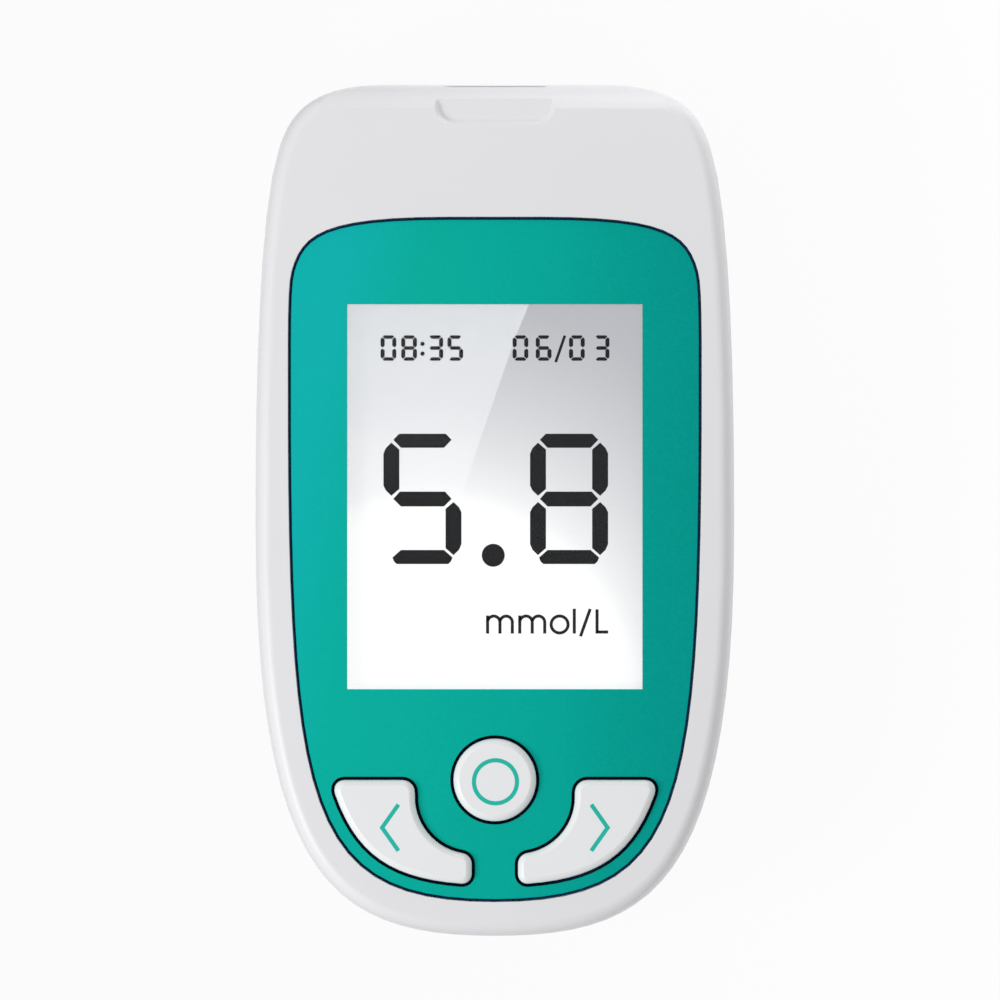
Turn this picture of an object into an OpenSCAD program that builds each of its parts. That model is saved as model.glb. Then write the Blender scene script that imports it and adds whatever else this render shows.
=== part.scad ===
// Hand-held blood glucose meter, lying on its feet with the display up.
// X runs across it, Y points to the test strip end and Z = 0 is the table.

/* [Case] */
// Width of the case at its widest point
case_w = 54; // [53:0.5:58]
// Length of the case
case_l = 96; // [95:0.5:100]
// Ends of the straight edge at the strip end, in from the sides
end_corner_in = 14.3; // [13.5:0.1:16]
// Wall of the two case halves
wall = 1.8; // [1.5:0.1:2]
// Thickness of the floor of the back half
floor_t = 1.6; // [1.4:0.1:2]
// Height of the parting line above the table
split_z = 10; // [9:0.1:11]
// How far the round of the front edge reaches in
side_round_w = 1.4; // [0.8:0.1:2]
// Height of the round of the front edge
side_round_h = 1.6; // [1:0.1:2.4]
// Crease across the front, from the strip end
crease_drop = 2.8; // [2:0.1:3.4]
// Height of the roll between the crease and the strip end
end_roll_h = 3; // [2:0.1:3.4]
// Part of a quarter turn that the roll makes, so that its start shows as a crease
end_roll_angle = 55; // [40:1:80]
// How far the round of the back edge reaches in
back_round_w = 6; // [4:0.1:7]
// Height of the round of the back edge
back_round_h = 7; // [5:0.1:7.5]
// Draft of the front half between parting line and edge
draft = 0.35; // [0.1:0.05:0.6]
// Start of the case's shoulders, in from its sides
shoulder_in = 2.68; // [2.5:0.01:2.9]
// Start of the shoulders, from the strip end
shoulder_drop = 7.07; // [6.8:0.01:7.4]
// Widest point of the case, above its middle
widest_y = -2.2; // [-4:0.1:0]
// Fullness of the corners at the strip end
end_pull = 9.1; // [8.5:0.1:9.5]
// Fullness of the shoulders
shoulder_pull = 2.9; // [2.5:0.1:3.2]
// Straightness of the sides
side_pull = 8.45; // [8:0.05:9]
// Height of the sides' lower pull above the battery end
low_side_pull = 5.4; // [4:0.1:7]
// Distance of the battery end's pull from the sides
low_end_pull = 9.5; // [9:0.1:11]
// Bevel on either side of the parting line
seam_bevel = 0.2; // [0.1:0.05:0.3]
// Height of the lip of the back half inside the front half
seam_lip_h = 1.1; // [0.8:0.1:1.5]
// Thickness of that lip
seam_lip_t = 0.65; // [0.5:0.05:0.7]

/* [Face] */
// Bare case above the coloured plate, at the strip end
forehead = 15.1; // [14.5:0.1:16]
// Bare rim at the sides of the plate
side_rim = 3.85; // [3.5:0.05:4.2]
// Bare rim below the plate
chin = 4.1; // [3.8:0.1:5]
// Ends of the straight edge at the top of the plate, in from its sides
plate_corner_in = 17.95; // [17:0.05:19]
// Distance of that edge's pull from the sides of the plate
top_corner_in = 3.65; // [3.4:0.05:4]
// Start of the plate's sides, in from its widest line
temple_in = 0.42; // [0.3:0.02:0.6]
// Start of the plate's sides, from its top
temple_drop = 6; // [5.8:0.1:6.4]
// Fullness of the plate's upper corners
temple_pull = 4.2; // [4:0.1:4.5]
// Where the plate is widest, from its top
cheek_drop = 17.7; // [16:0.1:20]
// Length over which its sides straighten
cheek_pull = 7; // [6:0.1:8]
// Height of the plate's lower pull above its bottom
low_plate_pull = 10.2; // [9:0.1:11]
// Distance of its bottom's pull from its sides
low_corner_in = 1.75; // [1.5:0.05:2.5]
// Thickness of the coloured plate
plate_t = 1.2; // [1:0.1:1.5]
// Rim of the case above the plate
rim_proud = 0.3; // [0.2:0.05:0.5]
// Bevel round the plate
plate_bevel = 0.25; // [0.1:0.05:0.4]
// Thickness of the adhesive under the plate
adhesive_t = 0.2; // [0.15:0.05:0.3]
// Thickness of the deck that carries the plate
deck_t = 1.4; // [1.2:0.1:1.6]

/* [Display] */
// From the top of the plate to the top of the window
window_drop = 9.7; // [9.2:0.1:10.5]
// From the sides of the plate to the window
window_side = 6.55; // [6.2:0.05:8]
// From the middle of the centre button up to the window
window_gap = 10.2; // [9.7:0.1:14]
// Thickness of the clear window above its flange
window_rise = 0.6; // [0.5:0.05:0.65]
// Width of the window's flange
window_flange_w = 1.2; // [0.8:0.1:1.4]
// Thickness of the window's flange
window_flange_t = 0.5; // [0.4:0.05:0.5]
// Wall of the display frame
lcd_wall = 1; // [0.8:0.1:1.2]
// Glass that the frame hides past the window, all round
lcd_margin = 0.5; // [0.3:0.1:0.6]
// Ledge of the upper glass over the rubber connector
lcd_ledge = 3.4; // [3:0.1:3.6]
// Thickness of each of the two glasses
glass_t = 0.8; // [0.7:0.05:0.9]
// Thickness of the polariser
polariser_t = 0.2; // [0.15:0.05:0.25]
// Thickness of the rubber connector
zebra_w = 2; // [1.6:0.1:2.2]

/* [Buttons] */
// From the end of the case to the middle of the centre button
button_from_end = 17.7; // [17.5:0.1:18.2]
// Radius of the centre button
button_r = 4.65; // [4.2:0.05:4.8]
// Rise of all buttons above the plate
button_proud = 1; // [0.9:0.05:1.3]
// Reach of the round on the buttons' edges
button_round_w = 0.65; // [0.5:0.05:0.95]
// Height of that round
button_round_h = 0.75; // [0.5:0.05:0.9]
// Part of a quarter turn that this round makes, so that its start shows as an edge
button_round_angle = 45; // [40:1:80]
// Coloured rim between a side button and the edge of the plate
key_rim = 1.8; // [1.7:0.05:2.2]
// Radius of the hollow side of the side buttons
key_hollow_r = 6.4; // [6:0.1:6.6]
// Centre of that hollow, below the top edge of the side buttons
key_hollow_drop = 1.9; // [1.7:0.1:2.1]
// From the middle of the meter to the tip of a side button
key_tip_x = 2.6; // [2.3:0.1:3]
// Radius of the side buttons' outer top corners
key_outer_r = 1.6; // [1.3:0.1:1.7]
// Radius of the side buttons' inner top corners
key_inner_r = 1.4; // [1.2:0.1:1.6]
// Radius of the side buttons' tips
key_tip_r = 1.15; // [1.05:0.05:1.2]
// Lip of the buttons under the deck
flange_w = 0.9; // [0.7:0.05:1]
// Thickness of that lip
flange_t = 0.7; // [0.6:0.05:0.9]
// Travel of the buttons
travel = 0.5; // [0.4:0.05:0.5]
// Middle of the side buttons' switches, from the middle of the meter
side_switch_x = 12.6; // [12:0.1:13]
// Middle of those switches, below the middle of the centre button
side_switch_drop = 4.6; // [4.2:0.1:5]
// Width of the switch bodies
switch_w = 5.2; // [4.5:0.1:5.6]
// Height of the switch bodies
switch_h = 1.2; // [1.1:0.05:1.4]
// Radius of the switch plungers
plunger_r = 1.2; // [1:0.05:1.4]
// Height of the plungers out of the switch bodies
plunger_out = 0.7; // [0.7:0.05:0.9]

/* [Strip end] */
// Width of the test strip slot
slot_w = 8.4; // [8:0.1:9]
// Height of the slot
slot_h = 1.3; // [1:0.1:1.4]
// From the board up to the slot
slot_rise = 1; // [0.9:0.05:1.2]
// Width of the bezel round the slot, on each side
bezel_w = 1.5; // [1.2:0.1:1.8]
// Height of the bezel above and below the slot
bezel_h = 0.8; // [0.7:0.05:0.85]
// Width of the thumb scoop
scoop_w = 13.6; // [12:0.1:16]
// From the end of the case to the inner edge of the scoop
scoop_reach = 4.6; // [4:0.1:5]
// Depth of the scoop's floor below the rim
scoop_depth = 0.65; // [0.4:0.05:0.9]
// Radius of the scoop's inner corners
scoop_r = 1.9; // [1.4:0.1:2.2]
// Room above the deck's underside, over the strip connector
brow_rise = 1.1; // [0.9:0.1:1.2]
// Length of the strip connector
connector_l = 10.4; // [9.5:0.1:10.6]
// Width of each contact spring
contact_w = 0.8; // [0.6:0.05:1]
// Pitch of the contact springs
contact_pitch = 1.9; // [1.6:0.05:2]

/* [Battery] */
// Radius of a cell
cell_r = 5.25; // [5.1:0.05:5.3]
// Length of a cell with its nub
cell_l = 44.5; // [43.5:0.1:45]
// From the middle of the meter to the middle of a cell
cell_x = 5.6; // [5.5:0.05:5.7]
// Wall at the sides and ends of the battery box
box_wall = 1.2; // [1:0.1:1.4]
// Roof of the battery box
roof_t = 0.8; // [0.7:0.05:1]
// From the end of the case to the inside of the battery box
box_from_end = 9.5; // [9.3:0.1:10]
// Length of a spring with the cell in
spring_l = 4.2; // [3.8:0.1:4.6]
// Radius of the spring wire
spring_wire = 0.3; // [0.25:0.05:0.35]
// Thickness of the contact plates
plate_contact_t = 0.4; // [0.3:0.05:0.5]
// Half width of the battery door
door_half_w = 11.6; // [11.5:0.1:12]
// From the end of the case to the nose of the door
door_l = 62; // [61:0.5:64]
// Height of the door's upturned end above the table
door_lip_z = 6.2; // [5.5:0.1:7]
// Width of the tongues along the door
tongue_w = 0.9; // [0.7:0.05:1]
// Thickness of those tongues
tongue_t = 0.65; // [0.5:0.05:0.7]
// Half width of the tongue on the door's nose
nose_half_w = 6; // [4:0.5:8]
// Length of that tongue
nose_l = 1.5; // [1:0.1:2]
// Ridges of the door's grip
grip_ridges = 6; // [4:1:7]
// Height of the ridges
ridge_h = 0.3; // [0.2:0.05:0.4]

/* [Fasteners and feet] */
// Upper case screws, in from the sides of the case
upper_screw_in = 8.5; // [8.2:0.1:9]
// Upper case screws, from the strip end
upper_screw_drop = 12; // [12:0.1:13]
// Lower case screws, in from the sides of the case
lower_screw_in = 7.8; // [7.6:0.1:8]
// Lower case screws, above the middle of the centre button
lower_screw_rise = 5.1; // [5:0.1:5.3]
// Radius of the screw heads
head_r = 2.1; // [1.9:0.05:2.2]
// Height of the screw heads
head_h = 1.4; // [1.2:0.1:1.6]
// Radius of the screw shanks
shank_r = 1.05; // [0.9:0.05:1.2]
// Height of the heads' seats above the table
head_seat_z = 4.6; // [4.2:0.1:5]
// Radius of the bosses in the back half
boss_r = 3.2; // [3:0.1:3.3]
// Radius of the bosses in the front half
front_boss_r = 2.4; // [2:0.1:2.6]
// Feet, from the middle of the meter
foot_x = 15.3; // [15:0.1:16]
// Upper feet, from the strip end
upper_foot_drop = 18; // [17.5:0.5:24]
// Lower feet, from the battery end
lower_foot_rise = 17; // [16.5:0.1:17.4]
// Radius of the rubber feet
foot_r = 2.6; // [2.2:0.1:2.8]
// Height of the feet below the case
foot_h = 0.6; // [0.5:0.05:0.9]
// Depth of the feet in the case
foot_sink = 0.4; // [0.3:0.05:0.6]

/* [Board] */
// Thickness of the circuit board
board_t = 1; // [0.8:0.1:1.2]
// Gap between the board and the case wall
board_gap = 0.8; // [0.6:0.1:1.2]
// Radius of the board screws
board_screw_r = 0.8; // [0.7:0.05:0.9]
// Radius of the bosses that the board is screwed to
board_boss_r = 1.8; // [1.6:0.1:1.9]
// Side board screws, in from the sides of the case
side_post_in = 6; // [5.5:0.1:6.3]
// Side board screws, above the middle of the case
side_post_y = 4; // [0:0.5:10]
// Top board screws, from the middle of the meter
top_post_x = 11; // [10.5:0.1:12]
// Top board screws, from the strip end
top_post_drop = 10; // [8:0.1:11]
// Side of the microcontroller's package
mcu_w = 9; // [7:0.5:10]
// Thickness of both chips
chip_t = 1.2; // [0.9:0.1:1.4]
// Pitch of the microcontroller's legs
leg_pitch = 1; // [0.8:0.1:1]
// Width of those legs
leg_w = 0.4; // [0.25:0.05:0.5]
// Reach of those legs past the package
leg_out = 0.8; // [0.5:0.1:1.2]
// Length of the analogue chip
analogue_l = 5; // [4:0.5:6]
// Width of the analogue chip
analogue_w = 4; // [3:0.5:5]
// Gap between the microcontroller's legs and what lies beside it
chip_gap = 2.2; // [1.5:0.1:3]
// Analogue chip's far side, from the strip end
analogue_drop = 15; // [14:0.5:15]
// Length of the crystal
crystal_l = 6; // [5:0.5:8]
// Radius of the crystal's can
crystal_r = 1; // [0.8:0.1:1.4]
// Radius of the buzzer
buzzer_r = 5; // [4:0.5:5.5]
// Height of the buzzer
buzzer_h = 2.6; // [2:0.1:3]
// Radius of the hole in the buzzer
buzzer_hole_r = 0.8; // [0.5:0.1:1.2]
// Middle of the buzzer, in from the side of the case
buzzer_in = 14; // [13:0.5:14]
// Length of a capacitor
cap_l = 1.8; // [1.2:0.1:2]
// Width of a capacitor
cap_w = 1; // [0.6:0.1:1.2]
// Height of a capacitor
cap_h = 0.9; // [0.5:0.1:1.1]
// Pitch of the capacitors
cap_pitch = 2.2; // [1.6:0.1:2.4]
// Capacitors, from the strip end
cap_drop = 14.5; // [13.5:0.5:15]
// Number of capacitors
cap_count = 6; // [3:1:6]

/* [Clearances] */
// Gap round the plate and the window
fit_gap = 0.12; // [0.08:0.01:0.2]
// Gap round the buttons
button_gap = 0.35; // [0.25:0.05:0.4]
// Gap round the sliding door
slide_gap = 0.15; // [0.1:0.01:0.2]
// Gap between parts that only lie near each other
free_gap = 0.2; // [0.15:0.01:0.25]
// Gap between the deck and the buttons' lips
lip_gap = 0.1; // [0.05:0.01:0.2]

/* [Hidden] */
$fn = 48;
past = 1;
round_k = 0.5523;

// Heights, from the table up
back_z = foot_h;
floor_z = back_z + floor_t;
cell_z = floor_z + free_gap + cell_r;
roof_z = cell_z + cell_r + free_gap;
board_z = roof_z + roof_t + free_gap;
board_top = board_z + board_t;
switch_top = board_top + switch_h;
flange_z = switch_top + plunger_out;
deck_z = flange_z + flange_t + lip_gap;
deck_top = deck_z + deck_t;
plate_z = deck_top + adhesive_t;
plate_top = plate_z + plate_t;
rim_z = plate_top + rim_proud;
button_top = plate_top + button_proud;
plunger_z = board_top + free_gap + travel;
slot_z = board_top + slot_rise;
brow_z = deck_z + brow_rise;

// Places along the meter
end_y = case_l / 2;
plate_y1 = end_y - forehead;
plate_y0 = chin - end_y;
window_y1 = plate_y1 - window_drop;
button_y = button_from_end - end_y;
window_y0 = button_y + window_gap;
window_half_w = case_w / 2 - side_rim - window_side;
box_y0 = box_from_end - end_y;
box_y1 = box_y0 + cell_l + spring_l + 2 * plate_contact_t;
box_half_w = cell_x + cell_r + free_gap;
door_y1 = door_l - end_y;
bezel_depth = wall + free_gap;
bezel_y = end_y - draft - bezel_depth;
connector_y = bezel_y - free_gap - connector_l;
side_switch_y = button_y - side_switch_drop;
case_screws = [
  [case_w / 2 - upper_screw_in, end_y - upper_screw_drop],
  [case_w / 2 - lower_screw_in, button_y + lower_screw_rise]
];
board_screws_at = [
  [case_w / 2 - side_post_in, side_post_y],
  [top_post_x, end_y - top_post_drop]
];
feet_at = [[foot_x, end_y - upper_foot_drop], [foot_x, lower_foot_rise - end_y]];

// Parts under the board, between the battery box and the strip end
box_end = box_y1 + box_wall;
caps_y = end_y - cap_drop;
parts_y = (box_end + caps_y) / 2;
beside_x = mcu_w / 2 + leg_out + chip_gap;
analogue_y = end_y - analogue_drop - analogue_w;
crystal_y = (box_end + analogue_y) / 2;

// Display frame and deck opening
lcd_half_w = window_half_w + lcd_margin + free_gap + lcd_wall;
lcd_y0 = window_y0 - lcd_margin - free_gap - lcd_wall;
lcd_y1 = window_y1 + lcd_margin + lcd_ledge + free_gap + lcd_wall;
lcd_top = deck_top - lip_gap;
upper_glass_z = lcd_top - free_gap - polariser_t - glass_t;
lower_glass_z = upper_glass_z - glass_t;

// ---- Curves ----

function bezier(a, b, c, d, t) =
  pow(1 - t, 3) * a + 3 * pow(1 - t, 2) * t * b + 3 * (1 - t) * t * t * c + pow(t, 3) * d;

// A cubic from a to d in n steps, without its last point
function curve(a, b, c, d, n) = [for (i = [0:n - 1]) bezier(a, b, c, d, i / n)];

// A round corner from p to q about the sharp corner c
function corner(p, c, q, n = 6) =
  [for (i = [0:n]) bezier(p, p + round_k * (c - p), q + round_k * (c - q), q, i / n)];

// A closed outline from its right half, which ends on the middle line
function both_sides(right) =
  concat(right, [for (i = [len(right) - 2:-1:0]) [-right[i][0], right[i][1]]]);

// Unit vector out of a clockwise outline at point i
function outward(p, i) =
  let (n = len(p), d = p[(i + 1) % n] - p[(i + n - 1) % n])
  [-d[1], d[0]] / norm(d);

function inset(p, r) = [for (i = [0:len(p) - 1]) p[i] - r * outward(p, i)];

function raised(p, z) = [for (q = p) [q[0], q[1], z]];

function along(angle) = [cos(angle), -sin(angle)];

// Case outline: straight end, shoulder, side and battery end.
// The pulls are the reach of the curves' handles, and set how full each corner is.
end_flat = case_w / 2 - end_corner_in;
shoulder = [case_w / 2 - shoulder_in, end_y - shoulder_drop];
shoulder_dir = along(71.2);
side_end = [case_w / 2, widest_y];
case_outline = both_sides(concat(
  curve([end_flat, end_y], [end_flat + end_pull, end_y],
        shoulder - shoulder_pull * shoulder_dir, shoulder, 12),
  curve(shoulder, shoulder + side_pull * shoulder_dir, side_end + [0, side_pull], side_end, 9),
  curve(side_end, [case_w / 2, low_side_pull - end_y], [case_w / 2 - low_end_pull, -end_y],
        [0, -end_y], 22),
  [[0, -end_y]]
));

// Plate outline, of the same kind
plate_w = case_w / 2 - side_rim;
temple = [plate_w - temple_in, plate_y1 - temple_drop];
temple_dir = along(74);
cheek_y = plate_y1 - cheek_drop;
low_edge = [
  [plate_w, cheek_y],
  [plate_w, plate_y0 + low_plate_pull],
  [plate_w - low_corner_in, plate_y0],
  [0, plate_y0]
];
plate_outline = both_sides(concat(
  curve([plate_w - plate_corner_in, plate_y1], [plate_w - top_corner_in, plate_y1],
        temple - temple_pull * temple_dir, temple, 12),
  curve(temple, temple + temple_pull / 3 * temple_dir, [plate_w, cheek_y + cheek_pull],
        [plate_w, cheek_y], 5),
  curve(low_edge[0], low_edge[1], low_edge[2], low_edge[3], 22),
  [[0, plate_y0]]
));

// Outer edge of a side button: the plate's own edge, set in by key_rim
function low_slope(t) =
  pow(1 - t, 2) * (low_edge[1] - low_edge[0]) + 2 * (1 - t) * t * (low_edge[2] - low_edge[1])
  + t * t * (low_edge[3] - low_edge[2]);
function key_edge(t) =
  let (d = low_slope(t))
  bezier(low_edge[0], low_edge[1], low_edge[2], low_edge[3], t)
  - key_rim * [-d[1], d[0]] / norm(d);

// Where that edge comes down to a value of x (axis 0) or y (axis 1)
function key_t(axis, value, low = 0, high = 1, n = 24) =
  let (mid = (low + high) / 2)
  n == 0 ? mid
  : key_edge(mid)[axis] > value ? key_t(axis, value, mid, high, n - 1)
  : key_t(axis, value, low, mid, n - 1);

key_top = button_y;
hollow = [key_tip_x, key_top - key_hollow_drop];
key_inner_x = hollow[0] + key_hollow_r;
hollow_end = acos(key_tip_r / key_hollow_r);
tip_top = hollow[1] - key_hollow_r;
key_t0 = key_t(1, key_top - key_outer_r);
key_t1 = key_t(0, key_tip_x + key_tip_r);
key_outer_x = key_edge(key_t(1, key_top))[0];
tip_low = key_edge(key_t(0, key_tip_x))[1];
side_steps = 14;
key_outline = concat(
  corner([key_outer_x - key_outer_r, key_top], [key_outer_x, key_top], key_edge(key_t0)),
  [for (i = [1:side_steps - 1]) key_edge(key_t0 + (key_t1 - key_t0) * i / side_steps)],
  corner(key_edge(key_t1), [key_tip_x, tip_low], [key_tip_x, tip_low + key_tip_r]),
  corner([key_tip_x, tip_top - key_tip_r], [key_tip_x, tip_top],
         hollow + key_hollow_r * along(hollow_end)),
  [for (i = [1:side_steps - 1])
    hollow + key_hollow_r * along(hollow_end * (1 - i / side_steps))],
  corner([key_inner_x, key_top - key_inner_r], [key_inner_x, key_top],
         [key_inner_x + key_inner_r, key_top])
);

// ---- Lofts ----

// A closed solid through rings of equal length, from the lowest to the highest.
// Each cap is zipped from every point to its partner across the outline.
module loft(rings) {
  n = len(rings[0]);
  last = (len(rings) - 1) * n;
  sides = [for (r = [0:len(rings) - 2]) for (i = [0:n - 1])
    let (a = r * n + i, b = r * n + (i + 1) % n) each [[a, b, b + n], [a, b + n, a + n]]];
  zip = [for (i = [0:ceil(n / 2) - 2])
    let (b = i + 1, c = n - 2 - i, d = n - 1 - i)
    each [[i, b, d], if (c != b) [b, c, d]]];
  top = [for (f = zip) [for (v = f) v + last]];
  bottom = [for (f = zip) [f[2], f[1], f[0]]];
  polyhedron(points = [for (r = rings) each r], faces = concat(sides, top, bottom));
}

// Front half: bevelled seam, drafted wall and rounded edge
round_steps = 6;
front_rings = concat(
  [raised(inset(case_outline, seam_bevel), split_z)],
  [raised(case_outline, split_z + seam_bevel)],
  [for (k = [0:round_steps])
    let (angle = 90 * k / round_steps)
    raised(inset(case_outline, draft + side_round_w * (1 - cos(angle))),
           rim_z - side_round_h * (1 - sin(angle)))]
);

// How far the drafted wall has leant in at a height
function lean(z) =
  draft * (z - split_z - seam_bevel) / (rim_z - side_round_h - split_z - seam_bevel);

function run_past(a, b) = b + past * (b - a) / norm(b - a);

// What the roll takes off at the strip end: all above an arc from the wall up to the crease.
// Its first step runs on past the wall and its last one past the rim, for clean cuts.
module end_roll() {
  steps = 8;
  foot_z = rim_z - end_roll_h;
  foot_in = lean(foot_z);
  reach = (crease_drop - foot_in) / (1 - cos(end_roll_angle));
  height = end_roll_h / sin(end_roll_angle);
  arc = [for (k = [0:steps])
    let (angle = end_roll_angle * k / steps)
    [end_y - foot_in - reach * (1 - cos(angle)), foot_z + height * sin(angle)]];
  low = run_past(arc[1], arc[0]);
  high = run_past(arc[steps - 1], arc[steps]);
  translate([-case_w, 0, 0])
    rotate([90, 0, 90])
      linear_extrude(2 * case_w)
        polygon(concat(
          [[end_y + past, high[1]], [end_y + past, low[1]], low],
          [for (k = [1:steps - 1]) arc[k]],
          [high]
        ));
}

// Back half, or its cavity when set in by a wall and raised by the floor
function back_rings(wall_in, lift) =
  [for (k = [0:round_steps])
    let (angle = 90 * k / round_steps)
    raised(inset(case_outline, wall_in + back_round_w * (1 - sin(angle))),
           back_z + lift + back_round_h * (1 - cos(angle)))];

module back_form() {
  loft(concat(
    back_rings(0, 0),
    [raised(case_outline, split_z - seam_bevel)],
    [raised(inset(case_outline, seam_bevel), split_z)]
  ));
}

module back_cavity() {
  loft(concat(back_rings(wall, floor_t), [raised(inset(case_outline, wall), split_z + past)]));
}

// A wall-like prism between two insets of the case outline
module outline_prism(r, z0, z1) {
  translate([0, 0, z0])
    linear_extrude(z1 - z0)
      polygon(inset(case_outline, r));
}

module both_x() {
  children();
  mirror([1, 0, 0]) children();
}

module at_each(places) {
  for (p = places)
    both_x() translate([p[0], p[1], 0]) children();
}

module block(x0, x1, y0, y1, z0, z1) {
  translate([x0, y0, z0])
    cube([x1 - x0, y1 - y0, z1 - z0]);
}

// ---- Openings for the buttons ----

module button_holes(z0, z1) {
  translate([0, button_y, z0])
    cylinder(r = button_r + button_gap, h = z1 - z0);
  both_x()
    translate([0, 0, z0])
      linear_extrude(z1 - z0)
        polygon(inset(key_outline, -button_gap));
}

module window_hole(grow, z0, z1) {
  half = window_half_w + grow;
  block(-half, half, window_y0 - grow, window_y1 + grow, z0, z1);
}

// ---- Front half of the case ----

seam_lip_in = wall - free_gap / 2;
seam_lip_out = seam_lip_in - seam_lip_t;
brow_half_w = 15;

module front_hollow() {
  outline_prism(wall, split_z - past, deck_z);
  outline_prism(seam_lip_out - slide_gap, split_z - past, split_z + seam_lip_h + slide_gap);
  // More room under the forehead, above the strip connector
  block(-brow_half_w, brow_half_w, plate_y1 + wall, bezel_y, deck_z - past, brow_z);
}

module plate_pocket() {
  translate([0, 0, deck_top])
    linear_extrude(rim_z - deck_top + past)
      polygon(inset(plate_outline, -fit_gap));
}

module deck_opening() {
  block(-lcd_half_w - free_gap, lcd_half_w + free_gap, lcd_y0 - free_gap, lcd_y1 + free_gap,
        deck_z - past, deck_top + past);
}

// Scoop for the thumb, with a fillet from its floor up to its walls, open over the strip end
module thumb_scoop() {
  steps = 4;
  half = scoop_w / 2;
  inner_y = end_y - scoop_reach;
  outer_y = end_y + past;
  mouth = both_sides(concat(
    [[half, outer_y]],
    corner([half, inner_y + scoop_r], [half, inner_y], [half - scoop_r, inner_y]),
    [[0, inner_y]]
  ));
  loft(concat(
    [for (k = [0:steps])
      let (angle = 90 * k / steps)
      raised(inset(mouth, scoop_depth * (1 - sin(angle))),
             rim_z - scoop_depth * cos(angle))],
    [raised(mouth, rim_z + past)]
  ));
}

module front_shell() {
  color([0.886, 0.886, 0.894])
  difference() {
    union() {
      difference() {
        loft(front_rings);
        front_hollow();
      }
      at_each(case_screws)
        translate([0, 0, split_z])
          cylinder(r = front_boss_r, h = deck_z - split_z + past);
      at_each(board_screws_at)
        translate([0, 0, board_top])
          cylinder(r = board_boss_r, h = brow_z - board_top + past / 2);
    }
    plate_pocket();
    deck_opening();
    button_holes(deck_z - past, deck_top + past);
    end_roll();
    thumb_scoop();
    bezel_form(free_gap / 2, bezel_y - past, end_y + past);
    at_each(case_screws)
      translate([0, 0, split_z - past])
        cylinder(r = shank_r + free_gap / 4, h = deck_z - split_z);
    at_each(board_screws_at)
      translate([0, 0, board_top - past])
        cylinder(r = board_screw_r + free_gap / 4, h = deck_z - board_top + past / 2);
  }
}

// ---- Back half of the case ----

box_out_w = max(box_half_w + box_wall, door_half_w + slide_gap + tongue_w + box_wall / 2);

module battery_box() {
  // Side walls stand on the floor, end walls and roof close the box over the door
  both_x()
    block(door_half_w + slide_gap, box_out_w, box_y0 - box_wall, box_y1 + box_wall,
          back_z + floor_t / 2, roof_z + roof_t);
  both_x()
    block(box_half_w, box_out_w, box_y0 - box_wall, box_y1 + box_wall,
          floor_z + slide_gap, roof_z + roof_t);
  block(-box_out_w, box_out_w, box_y0 - box_wall, box_y0, floor_z + slide_gap, roof_z + roof_t);
  block(-box_out_w, box_out_w, box_y1, box_y1 + box_wall, floor_z + slide_gap, roof_z + roof_t);
  block(-box_out_w, box_out_w, box_y0 - box_wall, box_y1 + box_wall, roof_z, roof_z + roof_t);
  // Rib between the cells
  rib_top = roof_z + roof_t / 2;
  block(-0.5, 0.5, box_y0 + 10, box_y1 - 10, cell_z + cell_r - 1, rib_top);
}

module door_room(grow) {
  half = door_half_w + grow;
  block(-half, half, -end_y - past, door_y1 + grow, back_z - past, floor_z + grow);
  block(-half, half, -end_y - past, box_y0 - box_wall - slide_gap, back_z - past,
        door_lip_z + grow);
}

tongue_z = floor_z - tongue_t;

module back_shell() {
  color([0.878, 0.878, 0.886])
  difference() {
    union() {
      difference() {
        back_form();
        back_cavity();
      }
      difference() {
        outline_prism(seam_lip_out, split_z - past / 2, split_z + seam_lip_h);
        outline_prism(seam_lip_in, split_z - past, split_z + seam_lip_h + past);
      }
      battery_box();
      at_each(case_screws)
        translate([0, 0, floor_z])
          cylinder(r = boss_r, h = split_z - floor_z);
    }
    door_room(slide_gap);
    // Grooves for the door's tongues, open at the battery end
    both_x()
      block(door_half_w, door_half_w + tongue_w + slide_gap, -end_y - past, door_y1 - 1 + slide_gap,
            tongue_z - slide_gap, tongue_z + tongue_t + slide_gap);
    // Slot for the door's nose
    block(-nose_half_w - slide_gap, nose_half_w + slide_gap, door_y1,
          door_y1 + nose_l + slide_gap, tongue_z - slide_gap, floor_z + past);
    at_each(case_screws) {
      translate([0, 0, back_z - past])
        cylinder(r = head_r + free_gap, h = head_seat_z - back_z + past);
      translate([0, 0, head_seat_z - past])
        cylinder(r = shank_r + free_gap, h = split_z - head_seat_z + 2 * past);
    }
    at_each(feet_at)
      translate([0, 0, back_z - past])
        cylinder(r = foot_r, h = foot_sink + past);
  }
}

module battery_door() {
  ridge_pitch = 1.6;
  ridge_w = 0.8;
  color([0.878, 0.878, 0.886])
  union() {
    difference() {
      intersection() {
        back_form();
        door_room(0);
      }
      back_cavity();
      // Flat inside under the box
      block(-box_out_w, box_out_w, box_y0 - box_wall - slide_gap, door_y1 + past, floor_z,
            door_lip_z + past);
    }
    both_x()
      block(door_half_w - 1, door_half_w + tongue_w, box_y0 + 2, door_y1 - 1,
            tongue_z, tongue_z + tongue_t);
    block(-nose_half_w, nose_half_w, door_y1 - 1, door_y1 + nose_l, tongue_z, tongue_z + tongue_t);
    for (i = [0:grip_ridges - 1])
      block(-nose_half_w, nose_half_w, box_y0 + 2 + i * ridge_pitch,
            box_y0 + 2 + i * ridge_pitch + ridge_w, back_z - ridge_h, back_z + floor_t / 2);
  }
}

// ---- Coloured plate ----

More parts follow.
